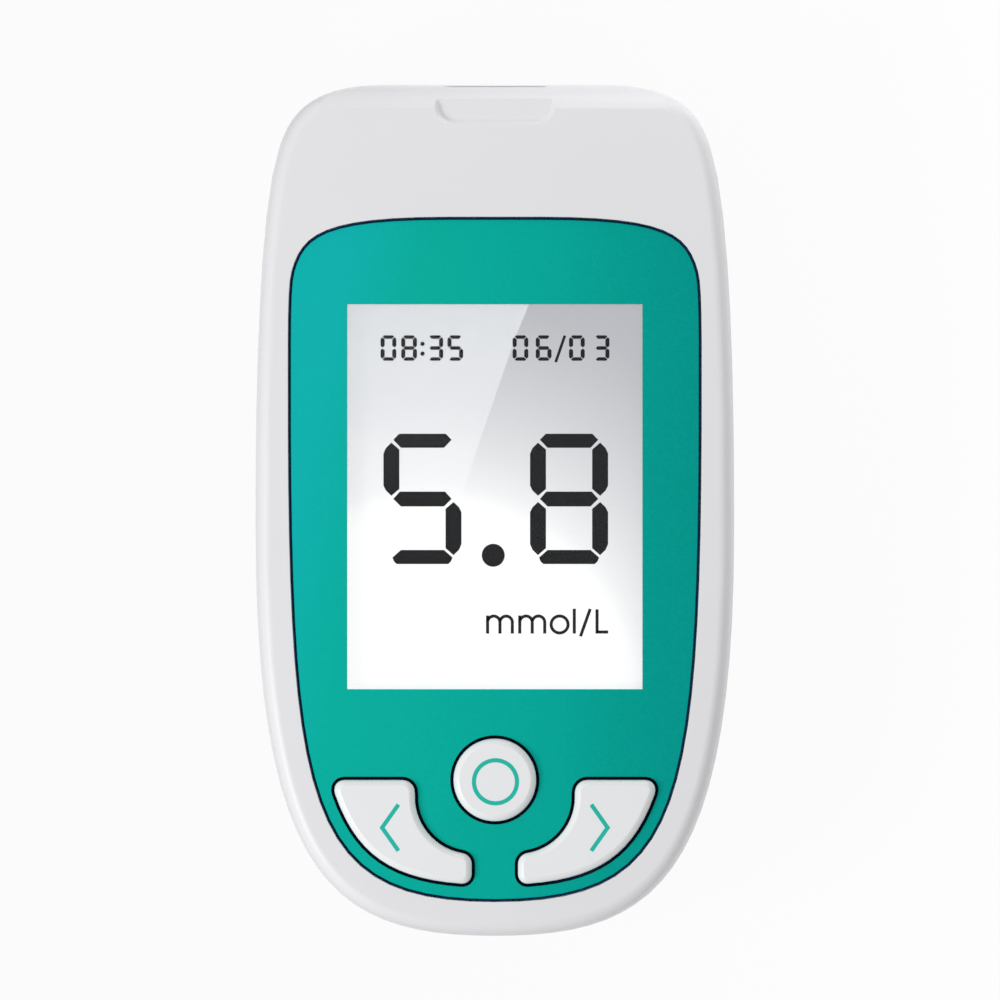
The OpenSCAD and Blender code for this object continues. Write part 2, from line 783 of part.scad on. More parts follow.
module faceplate() {
  color([0.039, 0.675, 0.620])
  difference() {
    loft([
      raised(plate_outline, plate_z),
      raised(plate_outline, plate_top - plate_bevel),
      raised(inset(plate_outline, plate_bevel), plate_top)
    ]);
    window_hole(0, plate_z - past, plate_top + past);
    window_hole(window_flange_w, plate_z - past, plate_z + window_flange_t);
    button_holes(plate_z - past, plate_top + past);
  }
}

module faceplate_adhesive() {
  edge = 0.3;
  color([0.02, 0.10, 0.17])
  difference() {
    translate([0, 0, deck_top])
      linear_extrude(adhesive_t)
        polygon(inset(plate_outline, edge));
    window_hole(edge, deck_top - past, plate_z + past);
    button_holes(deck_top - past, plate_z + past);
  }
}

module display_window() {
  color([0.92, 0.94, 0.95, 0.35])
  union() {
    window_hole(-fit_gap, plate_z, plate_z + window_flange_t + window_rise);
    window_hole(window_flange_w - fit_gap, plate_z, plate_z + window_flange_t);
  }
}

// ---- Display ----

module glass_sheet(y1, z, t) {
  half = lcd_half_w - lcd_wall - free_gap;
  block(-half, half, lcd_y0 + lcd_wall + free_gap, y1, z, z + t);
}

glass_y1 = lcd_y1 - lcd_wall - free_gap;
short_y1 = glass_y1 - lcd_ledge;

module lcd_frame() {
  color([0.16, 0.17, 0.18])
  difference() {
    block(-lcd_half_w, lcd_half_w, lcd_y0, lcd_y1, board_top, lcd_top);
    block(lcd_wall - lcd_half_w, lcd_half_w - lcd_wall, lcd_y0 + lcd_wall, lcd_y1 - lcd_wall,
          board_top - past, lcd_top + past);
  }
}

module lcd_glass() {
  color([0.80, 0.83, 0.84])
  union() {
    glass_sheet(short_y1, lower_glass_z, glass_t);
    glass_sheet(glass_y1, upper_glass_z, glass_t);
  }
}

module lcd_polariser() {
  color([0.85, 0.86, 0.88])
  glass_sheet(short_y1, upper_glass_z + glass_t, polariser_t);
}

module backlight_panel() {
  color([0.95, 0.95, 0.96])
  glass_sheet(short_y1, board_top, lower_glass_z - board_top);
}

module zebra_connector() {
  mid_y = (short_y1 + glass_y1) / 2;
  color([0.85, 0.55, 0.60])
  block(-window_half_w, window_half_w, mid_y - zebra_w / 2, mid_y + zebra_w / 2,
        board_top, upper_glass_z);
}

// ---- Board and its parts ----

module main_board() {
  color([0.05, 0.35, 0.20])
  difference() {
    outline_prism(wall + board_gap, board_z, board_top);
    at_each(case_screws)
      translate([0, 0, board_z - past])
        cylinder(r = front_boss_r + free_gap, h = board_t + 2 * past);
    at_each(board_screws_at)
      translate([0, 0, board_z - past])
        cylinder(r = board_screw_r + free_gap, h = board_t + 2 * past);
  }
}

module microcontroller() {
  half = mcu_w / 2;
  reach = half + leg_out;
  legs = floor(mcu_w / leg_pitch) - 1;
  color([0.10, 0.10, 0.11])
  translate([0, parts_y, board_z - chip_t])
  union() {
    block(-half, half, -half, half, 0, chip_t);
    // Each bar is a leg at either end, and runs through the package
    for (i = [0:legs - 1]) {
      at = (i - (legs - 1) / 2) * leg_pitch;
      block(-reach, reach, at - leg_w / 2, at + leg_w / 2, chip_t / 2, chip_t);
      block(at - leg_w / 2, at + leg_w / 2, -reach, reach, chip_t / 2, chip_t);
    }
  }
}

module analogue_chip() {
  color([0.10, 0.10, 0.11])
  block(beside_x, beside_x + analogue_l, analogue_y, analogue_y + analogue_w,
        board_z - chip_t, board_z);
}

module crystal_oscillator() {
  color([0.78, 0.78, 0.76])
  translate([beside_x, crystal_y, board_z - crystal_r])
    rotate([0, 90, 0])
      cylinder(r = crystal_r, h = crystal_l);
}

module buzzer() {
  color([0.12, 0.12, 0.13])
  translate([buzzer_in - case_w / 2, parts_y, board_z - buzzer_h])
  difference() {
    cylinder(r = buzzer_r, h = buzzer_h);
    translate([0, 0, -past])
      cylinder(r = buzzer_hole_r, h = past + buzzer_h / 2);
  }
}

module capacitors() {
  first_x = -(cap_count - 1) * cap_pitch / 2;
  color([0.62, 0.50, 0.36])
  for (i = [0:cap_count - 1])
    translate([first_x + i * cap_pitch - cap_w / 2, caps_y, board_z - cap_h])
      cube([cap_w, cap_l, cap_h]);
}

// ---- Buttons ----

// The round on a button's edge: how far in and how far down it is at each step
button_rings = [for (k = [0:4])
  let (angle = button_round_angle * k / 4)
  [button_round_w * (1 - cos(angle)) / (1 - cos(button_round_angle)),
   button_round_h * (1 - sin(angle) / sin(button_round_angle))]];

module centre_button() {
  color([0.898, 0.906, 0.902])
  translate([0, button_y, 0])
    rotate_extrude($fn = 96)
      polygon(concat(
        [[0, flange_z], [button_r + flange_w, flange_z],
         [button_r + flange_w, flange_z + flange_t], [button_r, flange_z + flange_t]],
        [for (ring = button_rings) [button_r - ring[0], button_top - ring[1]]],
        [[0, button_top]]
      ));
}

module side_button() {
  loft(concat(
    [raised(inset(key_outline, -flange_w), flange_z)],
    [raised(inset(key_outline, -flange_w), flange_z + flange_t)],
    [raised(key_outline, flange_z + flange_t)],
    [for (ring = button_rings) raised(inset(key_outline, ring[0]), button_top - ring[1])]
  ));
}

module left_button() {
  color([0.898, 0.906, 0.902])
  mirror([1, 0, 0]) side_button();
}

module right_button() {
  color([0.898, 0.906, 0.902])
  side_button();
}

// ---- Switches under the buttons ----

module switch_body(x, y) {
  color([0.75, 0.76, 0.78])
  translate([x, y, board_top])
  difference() {
    translate([-switch_w / 2, -switch_w / 2, 0])
      cube([switch_w, switch_w, switch_h]);
    translate([0, 0, free_gap])
      cylinder(r = plunger_r + slide_gap, h = switch_h + past);
  }
}

module plunger(x, y) {
  color([0.20, 0.20, 0.21])
  translate([x, y, plunger_z])
    cylinder(r = plunger_r, h = flange_z - plunger_z);
}

module centre_switch() { switch_body(0, button_y); }
module left_switch() { switch_body(-side_switch_x, side_switch_y); }
module right_switch() { switch_body(side_switch_x, side_switch_y); }
module centre_plunger() { plunger(0, button_y); }
module left_plunger() { plunger(-side_switch_x, side_switch_y); }
module right_plunger() { plunger(side_switch_x, side_switch_y); }

// ---- Test strip port ----

// A bar along Y round the strip slot, with round ends
module bezel_form(grow, y0, y1) {
  half_w = slot_w / 2 + bezel_w + grow;
  half_h = slot_h / 2 + bezel_h + grow;
  r = bezel_h;
  z = slot_z + slot_h / 2;
  translate([0, y1, z])
    rotate([90, 0, 0])
      linear_extrude(y1 - y0)
        polygon(concat(
          corner([half_w - r, half_h], [half_w, half_h], [half_w, half_h - r]),
          corner([half_w, r - half_h], [half_w, -half_h], [half_w - r, -half_h]),
          corner([r - half_w, -half_h], [-half_w, -half_h], [-half_w, r - half_h]),
          corner([-half_w, half_h - r], [-half_w, half_h], [r - half_w, half_h])
        ));
}

module strip_port_bezel() {
  color([0.25, 0.27, 0.30])
  difference() {
    bezel_form(0, bezel_y, bezel_y + bezel_depth - free_gap);
    block(-slot_w / 2, slot_w / 2, bezel_y - past, end_y + past, slot_z, slot_z + slot_h);
  }
}

module strip_connector() {
  half = slot_w / 2 + bezel_w;
  color([0.90, 0.89, 0.85])
  difference() {
    block(-half, half, connector_y, connector_y + connector_l, board_top,
          slot_z + slot_h + bezel_h);
    block(-slot_w / 2, slot_w / 2, connector_y - past, connector_y + connector_l + past,
          slot_z, slot_z + slot_h);
  }
}

// Four leaf springs: tail on the board, leaf on the slot's floor, nose in the strip's way
module strip_contacts() {
  leaf_t = 0.2;
  tail_l = 1.2;
  bend_y = connector_l * 0.55;
  nose_y = connector_l * 0.75;
  tip_y = connector_l * 0.9;
  nose_h = slot_h * 0.6;
  color([0.88, 0.70, 0.32])
  for (i = [0:3])
    translate([(i - 1.5) * contact_pitch - contact_w / 2, connector_y, board_top])
      rotate([90, 0, 90])
        linear_extrude(contact_w)
          polygon([
            [-tail_l, 0], [0, 0], [0, slot_rise], [bend_y, slot_rise],
            [nose_y, slot_rise + nose_h - leaf_t], [tip_y, slot_rise + leaf_t],
            [tip_y, slot_rise + 2 * leaf_t], [nose_y, slot_rise + nose_h],
            [bend_y, slot_rise + leaf_t], [-leaf_t, slot_rise + leaf_t],
            [-leaf_t, leaf_t], [-tail_l, leaf_t]
          ]);
}

// ---- Cells, contacts and springs ----

// A cell along +Y with its nub at the far end
module cell() {
  nub_r = 1.9;
  nub_l = 1;
  edge = 0.35;
  body_l = cell_l - nub_l;
  rotate([-90, 0, 0])
    rotate_extrude($fn = 64)
      polygon([
        [0, 0], [cell_r - edge, 0], [cell_r, edge], [cell_r, body_l - edge],
        [cell_r - edge, body_l], [nub_r, body_l], [nub_r, cell_l], [0, cell_l]
      ]);
}

module battery_left() {
  color([0.20, 0.22, 0.24])
  translate([-cell_x, box_y1 - plate_contact_t - cell_l, cell_z])
    cell();
}

module battery_right() {
  color([0.20, 0.22, 0.24])
  translate([cell_x, box_y0 + plate_contact_t + cell_l, cell_z])
    rotate([0, 0, 180]) cell();
}

contact_half = 4;

module contact_plate(x0, x1, y0) {
  block(x0, x1, y0, y0 + plate_contact_t, cell_z - contact_half, cell_z + contact_half);
}

module positive_contact() {
  color([0.80, 0.80, 0.78])
  contact_plate(-cell_x - contact_half, contact_half - cell_x, box_y1 - plate_contact_t);
}

module negative_contact() {
  color([0.80, 0.80, 0.78])
  contact_plate(cell_x - contact_half, cell_x + contact_half, box_y1 - plate_contact_t);
}

module link_contact() {
  color([0.80, 0.80, 0.78])
  contact_plate(-cell_x - contact_half, cell_x + contact_half, box_y0);
}

// A conical spring along +Y, wide at its foot
spring_turns = 3;
spring_steps = 42;
spring_sides = 6;
spring_foot_r = 3;
spring_tip_r = 1.6;

function spring_r(i) = spring_foot_r + (spring_tip_r - spring_foot_r) * i / spring_steps;
function spring_mid(i) =
  let (angle = 360 * spring_turns * i / spring_steps)
  [spring_r(i) * cos(angle), spring_wire + (spring_l - 2 * spring_wire) * i / spring_steps,
   spring_r(i) * sin(angle)];

function spring_ring(i) =
  let (
    angle = 360 * spring_turns * i / spring_steps,
    radial = [cos(angle), 0, sin(angle)],
    axial = [0, 1, 0]
  )
  [for (k = [0:spring_sides - 1])
    let (turn = 360 * k / spring_sides)
    spring_mid(i) + spring_wire * (cos(turn) * radial + sin(turn) * axial)];

module cell_spring() {
  n = spring_sides;
  end = spring_steps * n;
  polyhedron(
    points = [for (i = [0:spring_steps]) each spring_ring(i)],
    faces = concat(
      [for (r = [0:spring_steps - 1], k = [0:n - 1])
        let (a = r * n + k, b = r * n + (k + 1) % n)
        each [[b, a, a + n], [b, a + n, b + n]]],
      [[for (k = [0:n - 1]) k]],
      [[for (k = [n - 1:-1:0]) end + k]]
    )
  );
}

module left_spring() {
  color([0.82, 0.82, 0.80])
  translate([-cell_x, box_y0 + plate_contact_t, cell_z])
    cell_spring();
}

module right_spring() {
  color([0.82, 0.82, 0.80])
  translate([cell_x, box_y1 - plate_contact_t, cell_z])
    rotate([0, 0, 180]) cell_spring();
}

// ---- Feet and screws ----

module rubber_feet() {
  color([0.24, 0.25, 0.26])
  at_each(feet_at)
    cylinder(r = foot_r - free_gap / 4, h = foot_h + foot_sink);
}

module screw(head_radius, head_height, radius, length) {
  translate([0, 0, -head_height])
    cylinder(r = head_radius, h = head_height);
  cylinder(r = radius, h = length);
}

module housing_screws() {
  color([0.62, 0.63, 0.65])
  at_each(case_screws)
    translate([0, 0, head_seat_z])
      screw(head_r, head_h, shank_r, deck_z - 2 * past - head_seat_z);
}

module board_screws() {
  color([0.62, 0.63, 0.65])
  at_each(board_screws_at)
    translate([0, 0, board_z])
      screw(2 * board_screw_r, 1, board_screw_r, deck_z - past - board_z);
}

front_shell();
back_shell();
faceplate();
faceplate_adhesive();
display_window();
lcd_frame();
lcd_glass();
lcd_polariser();
backlight_panel();
zebra_connector();
main_board();
microcontroller();
analogue_chip();
crystal_oscillator();
buzzer();
capacitors();
centre_button();
left_button();
right_button();
centre_switch();
left_switch();
right_switch();
centre_plunger();
left_plunger();
right_plunger();
strip_connector();
strip_contacts();
strip_port_bezel();
battery_door();
battery_left();
battery_right();
positive_contact();
negative_contact();
link_contact();
left_spring();
right_spring();
rubber_feet();
housing_screws();
board_screws();
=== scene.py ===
import math

import bmesh
import bpy
from mathutils import Matrix, Vector


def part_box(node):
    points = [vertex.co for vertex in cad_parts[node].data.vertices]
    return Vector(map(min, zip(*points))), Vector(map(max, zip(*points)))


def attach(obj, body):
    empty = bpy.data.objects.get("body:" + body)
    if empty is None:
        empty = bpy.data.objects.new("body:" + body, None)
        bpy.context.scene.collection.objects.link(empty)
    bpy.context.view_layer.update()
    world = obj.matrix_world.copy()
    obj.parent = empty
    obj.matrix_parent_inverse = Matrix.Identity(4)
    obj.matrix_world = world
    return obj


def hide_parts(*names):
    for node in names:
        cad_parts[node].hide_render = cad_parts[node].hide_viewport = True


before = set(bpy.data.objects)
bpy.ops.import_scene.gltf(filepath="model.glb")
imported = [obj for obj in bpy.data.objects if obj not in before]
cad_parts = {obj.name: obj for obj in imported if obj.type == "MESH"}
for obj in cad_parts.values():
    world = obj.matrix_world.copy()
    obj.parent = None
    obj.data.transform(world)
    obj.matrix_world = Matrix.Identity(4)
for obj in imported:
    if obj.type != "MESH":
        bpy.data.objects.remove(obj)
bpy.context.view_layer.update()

mm = 0.001
scene = bpy.context.scene
scene.view_settings.view_transform = "Standard"


def rgb(red, green, blue):
    # a colour as a picture editor gives it, made linear
    levels = [value / 255 for value in (red, green, blue)]
    linear = [v / 12.92 if v <= 0.04045 else ((v + 0.055) / 1.055) ** 2.4 for v in levels]
    return (*linear, 1.0)


class Wire:
    # one output of a node, so that shader maths reads as plain sums
    def __init__(self, finish, socket):
        self.finish = finish
        self.socket = socket

    def join(self, operation, *pair):
        return self.finish.add("ShaderNodeMath", {"operation": operation}, dict(enumerate(pair)))

    def __add__(self, other):
        return self.join("ADD", self, other)

    def __radd__(self, other):
        return self.join("ADD", other, self)

    def __sub__(self, other):
        return self.join("SUBTRACT", self, other)

    def __rsub__(self, other):
        return self.join("SUBTRACT", other, self)

    def __mul__(self, other):
        return self.join("MULTIPLY", self, other)

    def __rmul__(self, other):
        return self.join("MULTIPLY", other, self)

    def __truediv__(self, other):
        return self.join("DIVIDE", self, other)

    def __gt__(self, other):
        return self.join("GREATER_THAN", self, other)

    def __lt__(self, other):
        return self.join("LESS_THAN", self, other)

    def __abs__(self):
        return self.join("ABSOLUTE", self)


class Finish:
    # the nodes of one material, or of the world
    def __init__(self, holder):
        self.holder = holder
        holder.use_nodes = True
        self.tree = holder.node_tree
        self.tree.nodes.clear()
        self.spot = None

    def add(self, kind, settings=None, values=None, output=0):
        node = self.tree.nodes.new(kind)
        for name, value in (settings or {}).items():
            if name == "stops":
                self.setStops(node.color_ramp, value)
            else:
                setattr(node, name, value)
        for key, value in (values or {}).items():
            if isinstance(value, Wire):
                self.tree.links.new(value.socket, node.inputs[key])
            else:
                node.inputs[key].default_value = value
        return Wire(self, node.outputs[output]) if node.outputs else None

    def setStops(self, ramp, stops):
        while len(ramp.elements) > 1:
            ramp.elements.remove(ramp.elements[-1])
        ramp.elements[0].position, ramp.elements[0].color = stops[0]
        for position, colour in stops[1:]:
            ramp.elements.new(position).color = colour

    def place(self):
        if not self.spot:
            self.spot = self.add("ShaderNodeTexCoord", output="Object")
        return self.spot

    def axis(self, index):
        return self.add("ShaderNodeSeparateXYZ", None, {0: self.place()}, index)

    def noise(self, size, detail=2.0, stretch=(1, 1, 1)):
        # size is the width of a typical grain in metres
        spread = self.add("ShaderNodeMapping", None, {"Vector": self.place(), "Scale": stretch})
        return self.add("ShaderNodeTexNoise", None,
                        {"Vector": spread, "Scale": 0.5 / size, "Detail": detail})

    def ramp(self, value, stops):
        return self.add("ShaderNodeValToRGB", {"stops": stops}, {0: value})

    def mix(self, share, first, second):
        return self.add("ShaderNodeMix", {"data_type": "RGBA"}, {0: share, 6: first, 7: second}, 2)

    def between(self, value, low, high, first=0.0, second=1.0):
        return self.add("ShaderNodeMapRange", None,
                        {0: value, 1: low, 2: high, 3: first, 4: second})

    def bump(self, height, depth):
        return self.add("ShaderNodeBump", None, {"Height": height, "Distance": depth})

    def principled(self, **values):
        named = {name.replace("_", " "): value for name, value in values.items()}
        return self.add("ShaderNodeBsdfPrincipled", None, named)

    def blend(self, share, first, second):
        return self.add("ShaderNodeMixShader", None, {0: share, 1: first, 2: second})

    def done(self, shader, kind="ShaderNodeOutputMaterial"):
        self.add(kind, None, {0: shader})
        return self.holder


def newFinish(name):
    return Finish(bpy.data.materials.new(name))


def about(level, *waves):
    # the level, moved up and down by noises, each with its share
    for share, noise in waves:
        level = level + share * (noise - 0.5)
    return level


plasticNature = {"drift": 9 * mm, "grainDetail": 3, "byGrain": 0.10, "byDrift": 0.04,
                 "shine": 0.5}


def plasticFinish(name, look):
    # moulded plastic: fine spark texture, with slow drifts of tone and gloss
    finish = newFinish(name)
    drift = finish.noise(plasticNature["drift"])
    grain = finish.noise(look["grain"], plasticNature["grainDetail"])
    rough = about(look["roughness"], (plasticNature["byGrain"], grain),
                  (plasticNature["byDrift"], drift))
    return finish.done(finish.principled(
        Base_Color=finish.mix(drift, look["pale"], look["deep"]), Roughness=rough,
        Normal=finish.bump(grain, look["grainDepth"]),
        Specular_IOR_Level=look.get("shine", plasticNature["shine"])))


metalNature = {"cloud": 1.5 * mm, "cloudDetail": 3, "cloudFrom": 0.35, "cloudTo": 0.7,
               "byLines": 0.18, "byCloud": 0.10, "lineDepth": 0.004 * mm}


def metalFinish(name, look):
    # plated metal: drawn lines along one axis, clouds of tone and of gloss
    nature = metalNature
    finish = newFinish(name)
    lines = finish.noise(look["lines"], stretch=look["stretch"])
    cloud = finish.noise(nature["cloud"], nature["cloudDetail"])
    colour = finish.mix(finish.between(cloud, nature["cloudFrom"], nature["cloudTo"]),
                        look["bright"], look["dull"])
    rough = about(look["roughness"], (nature["byLines"], lines), (nature["byCloud"], cloud))
    return finish.done(finish.principled(
        Base_Color=colour, Metallic=1.0, Roughness=rough,
        Normal=finish.bump(lines, nature["lineDepth"])))


inkNature = {"lift": 1.5, "filmFrom": 0.3, "filmTo": 0.7, "filmShare": 0.14,
             "roughness": 0.5, "byFilm": 0.1, "shine": 0.2}


def inkFinish(name, ink, size):
    # printed or driven dark areas, with a slightly uneven film
    nature = inkNature
    finish = newFinish(name)
    film = finish.noise(size)
    lifted = tuple(min(1, level * nature["lift"]) for level in ink[:3]) + (1.0,)
    share = finish.between(film, nature["filmFrom"], nature["filmTo"], 0, nature["filmShare"])
    return finish.done(finish.principled(
        Base_Color=finish.mix(share, ink, lifted),
        Roughness=nature["roughness"] + nature["byFilm"] * film,
        Specular_IOR_Level=nature["shine"]))


def placed(name, shape, material):
    mesh = bpy.data.meshes.new(name)
    shape.to_mesh(mesh)
    shape.free()
    mesh.materials.append(material)
    holder = bpy.data.objects.new(name, mesh)
    scene.collection.objects.link(holder)
    return holder


def pieceOf(name, shape, material, body, nodes=()):
    piece = placed(name, shape, material)
    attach(piece, body)
    if nodes:
        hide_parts(*nodes)
    return piece


def roundEdges(shape, width, region, leastTurn):
    # a small round on the sharp edges whose middle lies in the region, which is in mm
    least = math.radians(leastTurn)
    picked = []
    for edge in shape.edges:
        middle = (edge.verts[0].co + edge.verts[1].co) / (2 * mm)
        inside = all(low < getattr(middle, axis) < high for axis, (low, high) in region.items())
        if inside and len(edge.link_faces) == 2 and edge.calc_face_angle() > least:
            picked.append(edge)
    bmesh.ops.bevel(shape, geom=picked, affect="EDGES", offset=width, offset_type="OFFSET",
                    segments=2, profile=0.5, material=-1, clamp_overlap=True)


skinNature = {"weld": 0.004 * mm, "flatTurn": 0.25, "calmWeight": 50}


def dressed(node, material, body, rounds=(), crisp=32):
    # the node's own shape with soft edges, and clean shading across its facets
    # each round is a width, a region and the least turn in degrees of an edge to be rounded
    shape = bmesh.new()
    shape.from_mesh(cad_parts[node].data)
    bmesh.ops.remove_doubles(shape, verts=shape.verts, dist=skinNature["weld"])
    bmesh.ops.dissolve_limit(shape, angle_limit=math.radians(skinNature["flatTurn"]),
                             verts=shape.verts, edges=shape.edges, delimit=set())
    for width, region, leastTurn in rounds:
        roundEdges(shape, width, region, leastTurn)
    for face in shape.faces:
        face.smooth = True
    for edge in shape.edges:
        edge.smooth = len(edge.link_faces) != 2 or edge.calc_face_angle() < math.radians(crisp)
    piece = pieceOf(node + "Skin", shape, material, body, (node,))
    calm = piece.modifiers.new("calm", "WEIGHTED_NORMAL")
    calm.mode = "FACE_AREA"
    calm.weight = skinNature["calmWeight"]
    calm.keep_sharp = True
    return piece


def painted(material, *nodes):
    for node in nodes:
        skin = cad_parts[node].data.materials
        skin.clear()
        skin.append(material)


def raisePlate(shape, face, thick):
    # a thin closed plate, from one flat face upwards
    face.normal_update()
    if face.normal.z > 0:
        face.normal_flip()
    grown = bmesh.ops.extrude_face_region(shape, geom=[face])["geom"]
    tops = [item for item in grown if isinstance(item, bmesh.types.BMVert)]
    bmesh.ops.translate(shape, verts=tops, vec=(0, 0, thick))


def addPlate(shape, corners, low, thick):
    raisePlate(shape, shape.faces.new([shape.verts.new((x * mm, y * mm, low))
                                       for x, y in corners]), thick)


def addDot(shape, x, y, radius, low, thick):
    made = bmesh.ops.create_circle(shape, cap_ends=True, segments=48, radius=radius * mm,
                                   matrix=Matrix.Translation((x * mm, y * mm, low)))
    raisePlate(shape, made["verts"][0].link_faces[0], thick)


def addStroke(shape, start, end, pen, low, thick):
    # a straight pen stroke with square ends
    a, b = Vector(start), Vector(end)
    side = (b - a).normalized().orthogonal() * pen / 2
    addPlate(shape, [a + side, b + side, b - side, a - side], low, thick)


def addArc(shape, centre, radius, pen, turn, steps, low, thick):
    # a pen stroke along a circle from its right: the pen's section, spun about the centre
    middle = Vector((centre[0] * mm, centre[1] * mm, 0))
    section = bmesh.ops.create_grid(shape, x_segments=1, y_segments=1, size=0.5)["verts"]
    upright = Matrix.Rotation(math.radians(90), 4, "X")
    sized = Matrix.Diagonal((pen * mm, 1, thick, 1))
    moved = Matrix.Translation(middle + Vector((radius * mm, 0, low + thick / 2)))
    bmesh.ops.transform(shape, verts=section, matrix=moved @ sized @ upright)
    face = section[0].link_faces[0]
    whole = turn == 360
    spun = bmesh.ops.spin(shape, geom=[face, *face.edges, *face.verts], cent=middle,
                          axis=(0, 0, 1), angle=math.radians(turn), steps=steps,
                          use_merge=whole, use_duplicate=False)
    if whole:
        ends = {face, *(f for f in spun["geom_last"] if isinstance(f, bmesh.types.BMFace))}
        bmesh.ops.delete(shape, geom=[f for f in ends if f.is_valid], context="FACES_ONLY")


def closed(shape):
    bmesh.ops.remove_doubles(shape, verts=shape.verts, dist=0.0005 * mm)
    bmesh.ops.recalc_face_normals(shape, faces=shape.faces)
    return shape


frontShellLook = {
    "pale": rgb(226, 226, 229),
    "deep": rgb(222, 222, 225),
    "grain": 0.22 * mm,
    "grainDepth": 0.003 * mm,
    "roughness": 0.42,
    "shine": 0.4,
    "recessRim": (0.12 * mm, {"x": (-23.7, 23.7), "y": (-50, 34), "z": (20.8, 25)}, 30),
    # small, because the crease of the end roll runs close above the port
    "portRim": (0.03 * mm, {"x": (-6, 6), "y": (47.4, 50), "z": (15, 25)}, 30),
}
dressed("front_shell", plasticFinish("frontPlastic", frontShellLook), "meter",
        (frontShellLook["recessRim"], frontShellLook["portRim"]))

backShellLook = {
    "pale": rgb(224, 224, 227),
    "deep": rgb(220, 220, 223),
    "grain": 0.30 * mm,
    "grainDepth": 0.012 * mm,
    "roughness": 0.52,
    "shine": 0.4,
    "gripRim": (0.14 * mm, {"z": (-1, 0.5)}, 30),
}
backPlastic = plasticFinish("backPlastic", backShellLook)
dressed("back_shell", backPlastic, "meter")
dressed("battery_door", backPlastic, "door", (backShellLook["gripRim"],))
print("case done")

plateLook = {
    # the colour from the left edge to the right one, lighter at the left and darker at the right:
    # painted light from the left
    "tones": [(0.0, rgb(6, 170, 154)), (0.32, rgb(4, 168, 151)), (0.5, rgb(2, 165, 149)),
              (0.66, rgb(1, 161, 147)), (0.8, rgb(0, 153, 140)), (0.89, rgb(0, 149, 138)),
              (1.0, rgb(0, 145, 135))],
    "halfWidth": 23.15 * mm,
    # painted sheen: bluer along the left edge, for light from the left
    "paintedSheen": rgb(12, 173, 171),
    "paintedSheenFrom": -22.6 * mm, "paintedSheenTo": -14.2 * mm, "paintedSheenLean": 0.2,
    "flake": 0.16 * mm, "flakeTone": rgb(16, 205, 196),
    "flakeFrom": 0.3, "flakeTo": 0.75, "flakeShare": 0.10, "flakeDepth": 0.002 * mm,
    "drift": 7 * mm, "driftShare": 0.05,
    "roughness": 0.36, "byFlake": 0.12, "shine": 0.04,
    "paintedEdgeTone": rgb(0, 44, 82), "gapShadeDown": 0.05 * mm,
    "top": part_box("faceplate")[1].z,
    "windowHalf": 16.9 * mm, "windowLow": -20.5 * mm, "windowHigh": 23.6 * mm,
    "topRim": (0.07 * mm, {"z": (20.5, 25)}, 50),
}


def plateFinish(look):
    # lacquer over fine pearl flakes, with painted light that makes it lighter and bluer to the
    # left; its cut edges, but for those round the window, are painted dark navy as painted shade in
    # the gaps
    finish = newFinish("plateLacquer")
    # painted light: lighter and bluer at the left, darker at the right, as if lit from the left
    across = finish.between(finish.axis(0), -look["halfWidth"], look["halfWidth"])
    paintedSheen = finish.between(finish.axis(0) - look["paintedSheenLean"] * finish.axis(1),
                          look["paintedSheenFrom"], look["paintedSheenTo"], 1, 0)
    base = finish.mix(paintedSheen, finish.ramp(across, look["tones"]), look["paintedSheen"])
    flakes = finish.noise(look["flake"])
    drift = finish.noise(look["drift"])
    share = (look["flakeShare"] * finish.between(flakes, look["flakeFrom"], look["flakeTo"])
             + look["driftShare"] * drift)
    lacquer = finish.mix(share, base, look["flakeTone"])
    nearWindow = ((abs(finish.axis(0)) < look["windowHalf"])
                  * (finish.axis(1) > look["windowLow"])
                  * (finish.axis(1) < look["windowHigh"]))
    # painted shade: the cut edges below the face, but for those round the window, are dark navy for
    # the shade in the gaps
    edge = (finish.axis(2) < look["top"] - look["gapShadeDown"]) * (1 - nearWindow)
    return finish.done(finish.principled(
        Base_Color=finish.mix(edge, lacquer, look["paintedEdgeTone"]),
        Roughness=about(look["roughness"], (look["byFlake"], flakes)),
        Specular_IOR_Level=look["shine"], Normal=finish.bump(flakes, look["flakeDepth"])))


dressed("faceplate", plateFinish(plateLook), "meter", (plateLook["topRim"],))

# painted shade: the tape's dark navy shows in the gaps round the plate and keys
tapeLook = {"dark": rgb(0, 58, 102), "light": rgb(6, 88, 136), "cell": 0.12 * mm,
            "cellFrom": 0.1, "cellTo": 0.8, "cellDepth": 0.02 * mm, "roughness": 0.75,
            "byCell": 0.1}


def tapeFinish(look):
    # dense foam tape with small closed cells; its dark navy is painted shade for the gaps round the
    # plate and keys, where it shows
    finish = newFinish("foamTape")
    foam = finish.add("ShaderNodeTexVoronoi", None,
                      {"Vector": finish.place(), "Scale": 1 / look["cell"]})
    colour = finish.mix(finish.between(foam, look["cellFrom"], look["cellTo"]),
                        look["dark"], look["light"])
    return finish.done(finish.principled(
        Base_Color=colour, Roughness=look["roughness"] + look["byCell"] * foam,
        Normal=finish.bump(foam, look["cellDepth"])))


painted(tapeFinish(tapeLook), "faceplate_adhesive")
print("plate done")

windowLook = {
    "clear": (0.99, 0.995, 0.995, 1.0),
    "index": 1.49,
    "reflected": 0.25,     # share of a bare surface's reflection that the coated face has
    "mirrorTone": (0.95, 0.97, 0.98, 1.0),
    "haze": 2.5 * mm, "mirrorRoughness": 0.004, "byHaze": 0.004,
    "lowCorner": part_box("display_window")[0],
    "highCorner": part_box("display_window")[1],
    "flange": 0.8 * mm,
    # painted highlight: the pale frosted edge also paints the light line along the window's edge
    "paintedEdgeTone": rgb(196, 226, 228), "edgeWide": 0.14 * mm,
    "frost": 0.1 * mm, "frostRoughness": 0.4, "frostShare": 0.55, "byFrost": 0.2,
    "topRim": (0.12 * mm, {"z": (20.4, 25)}, 30),
}


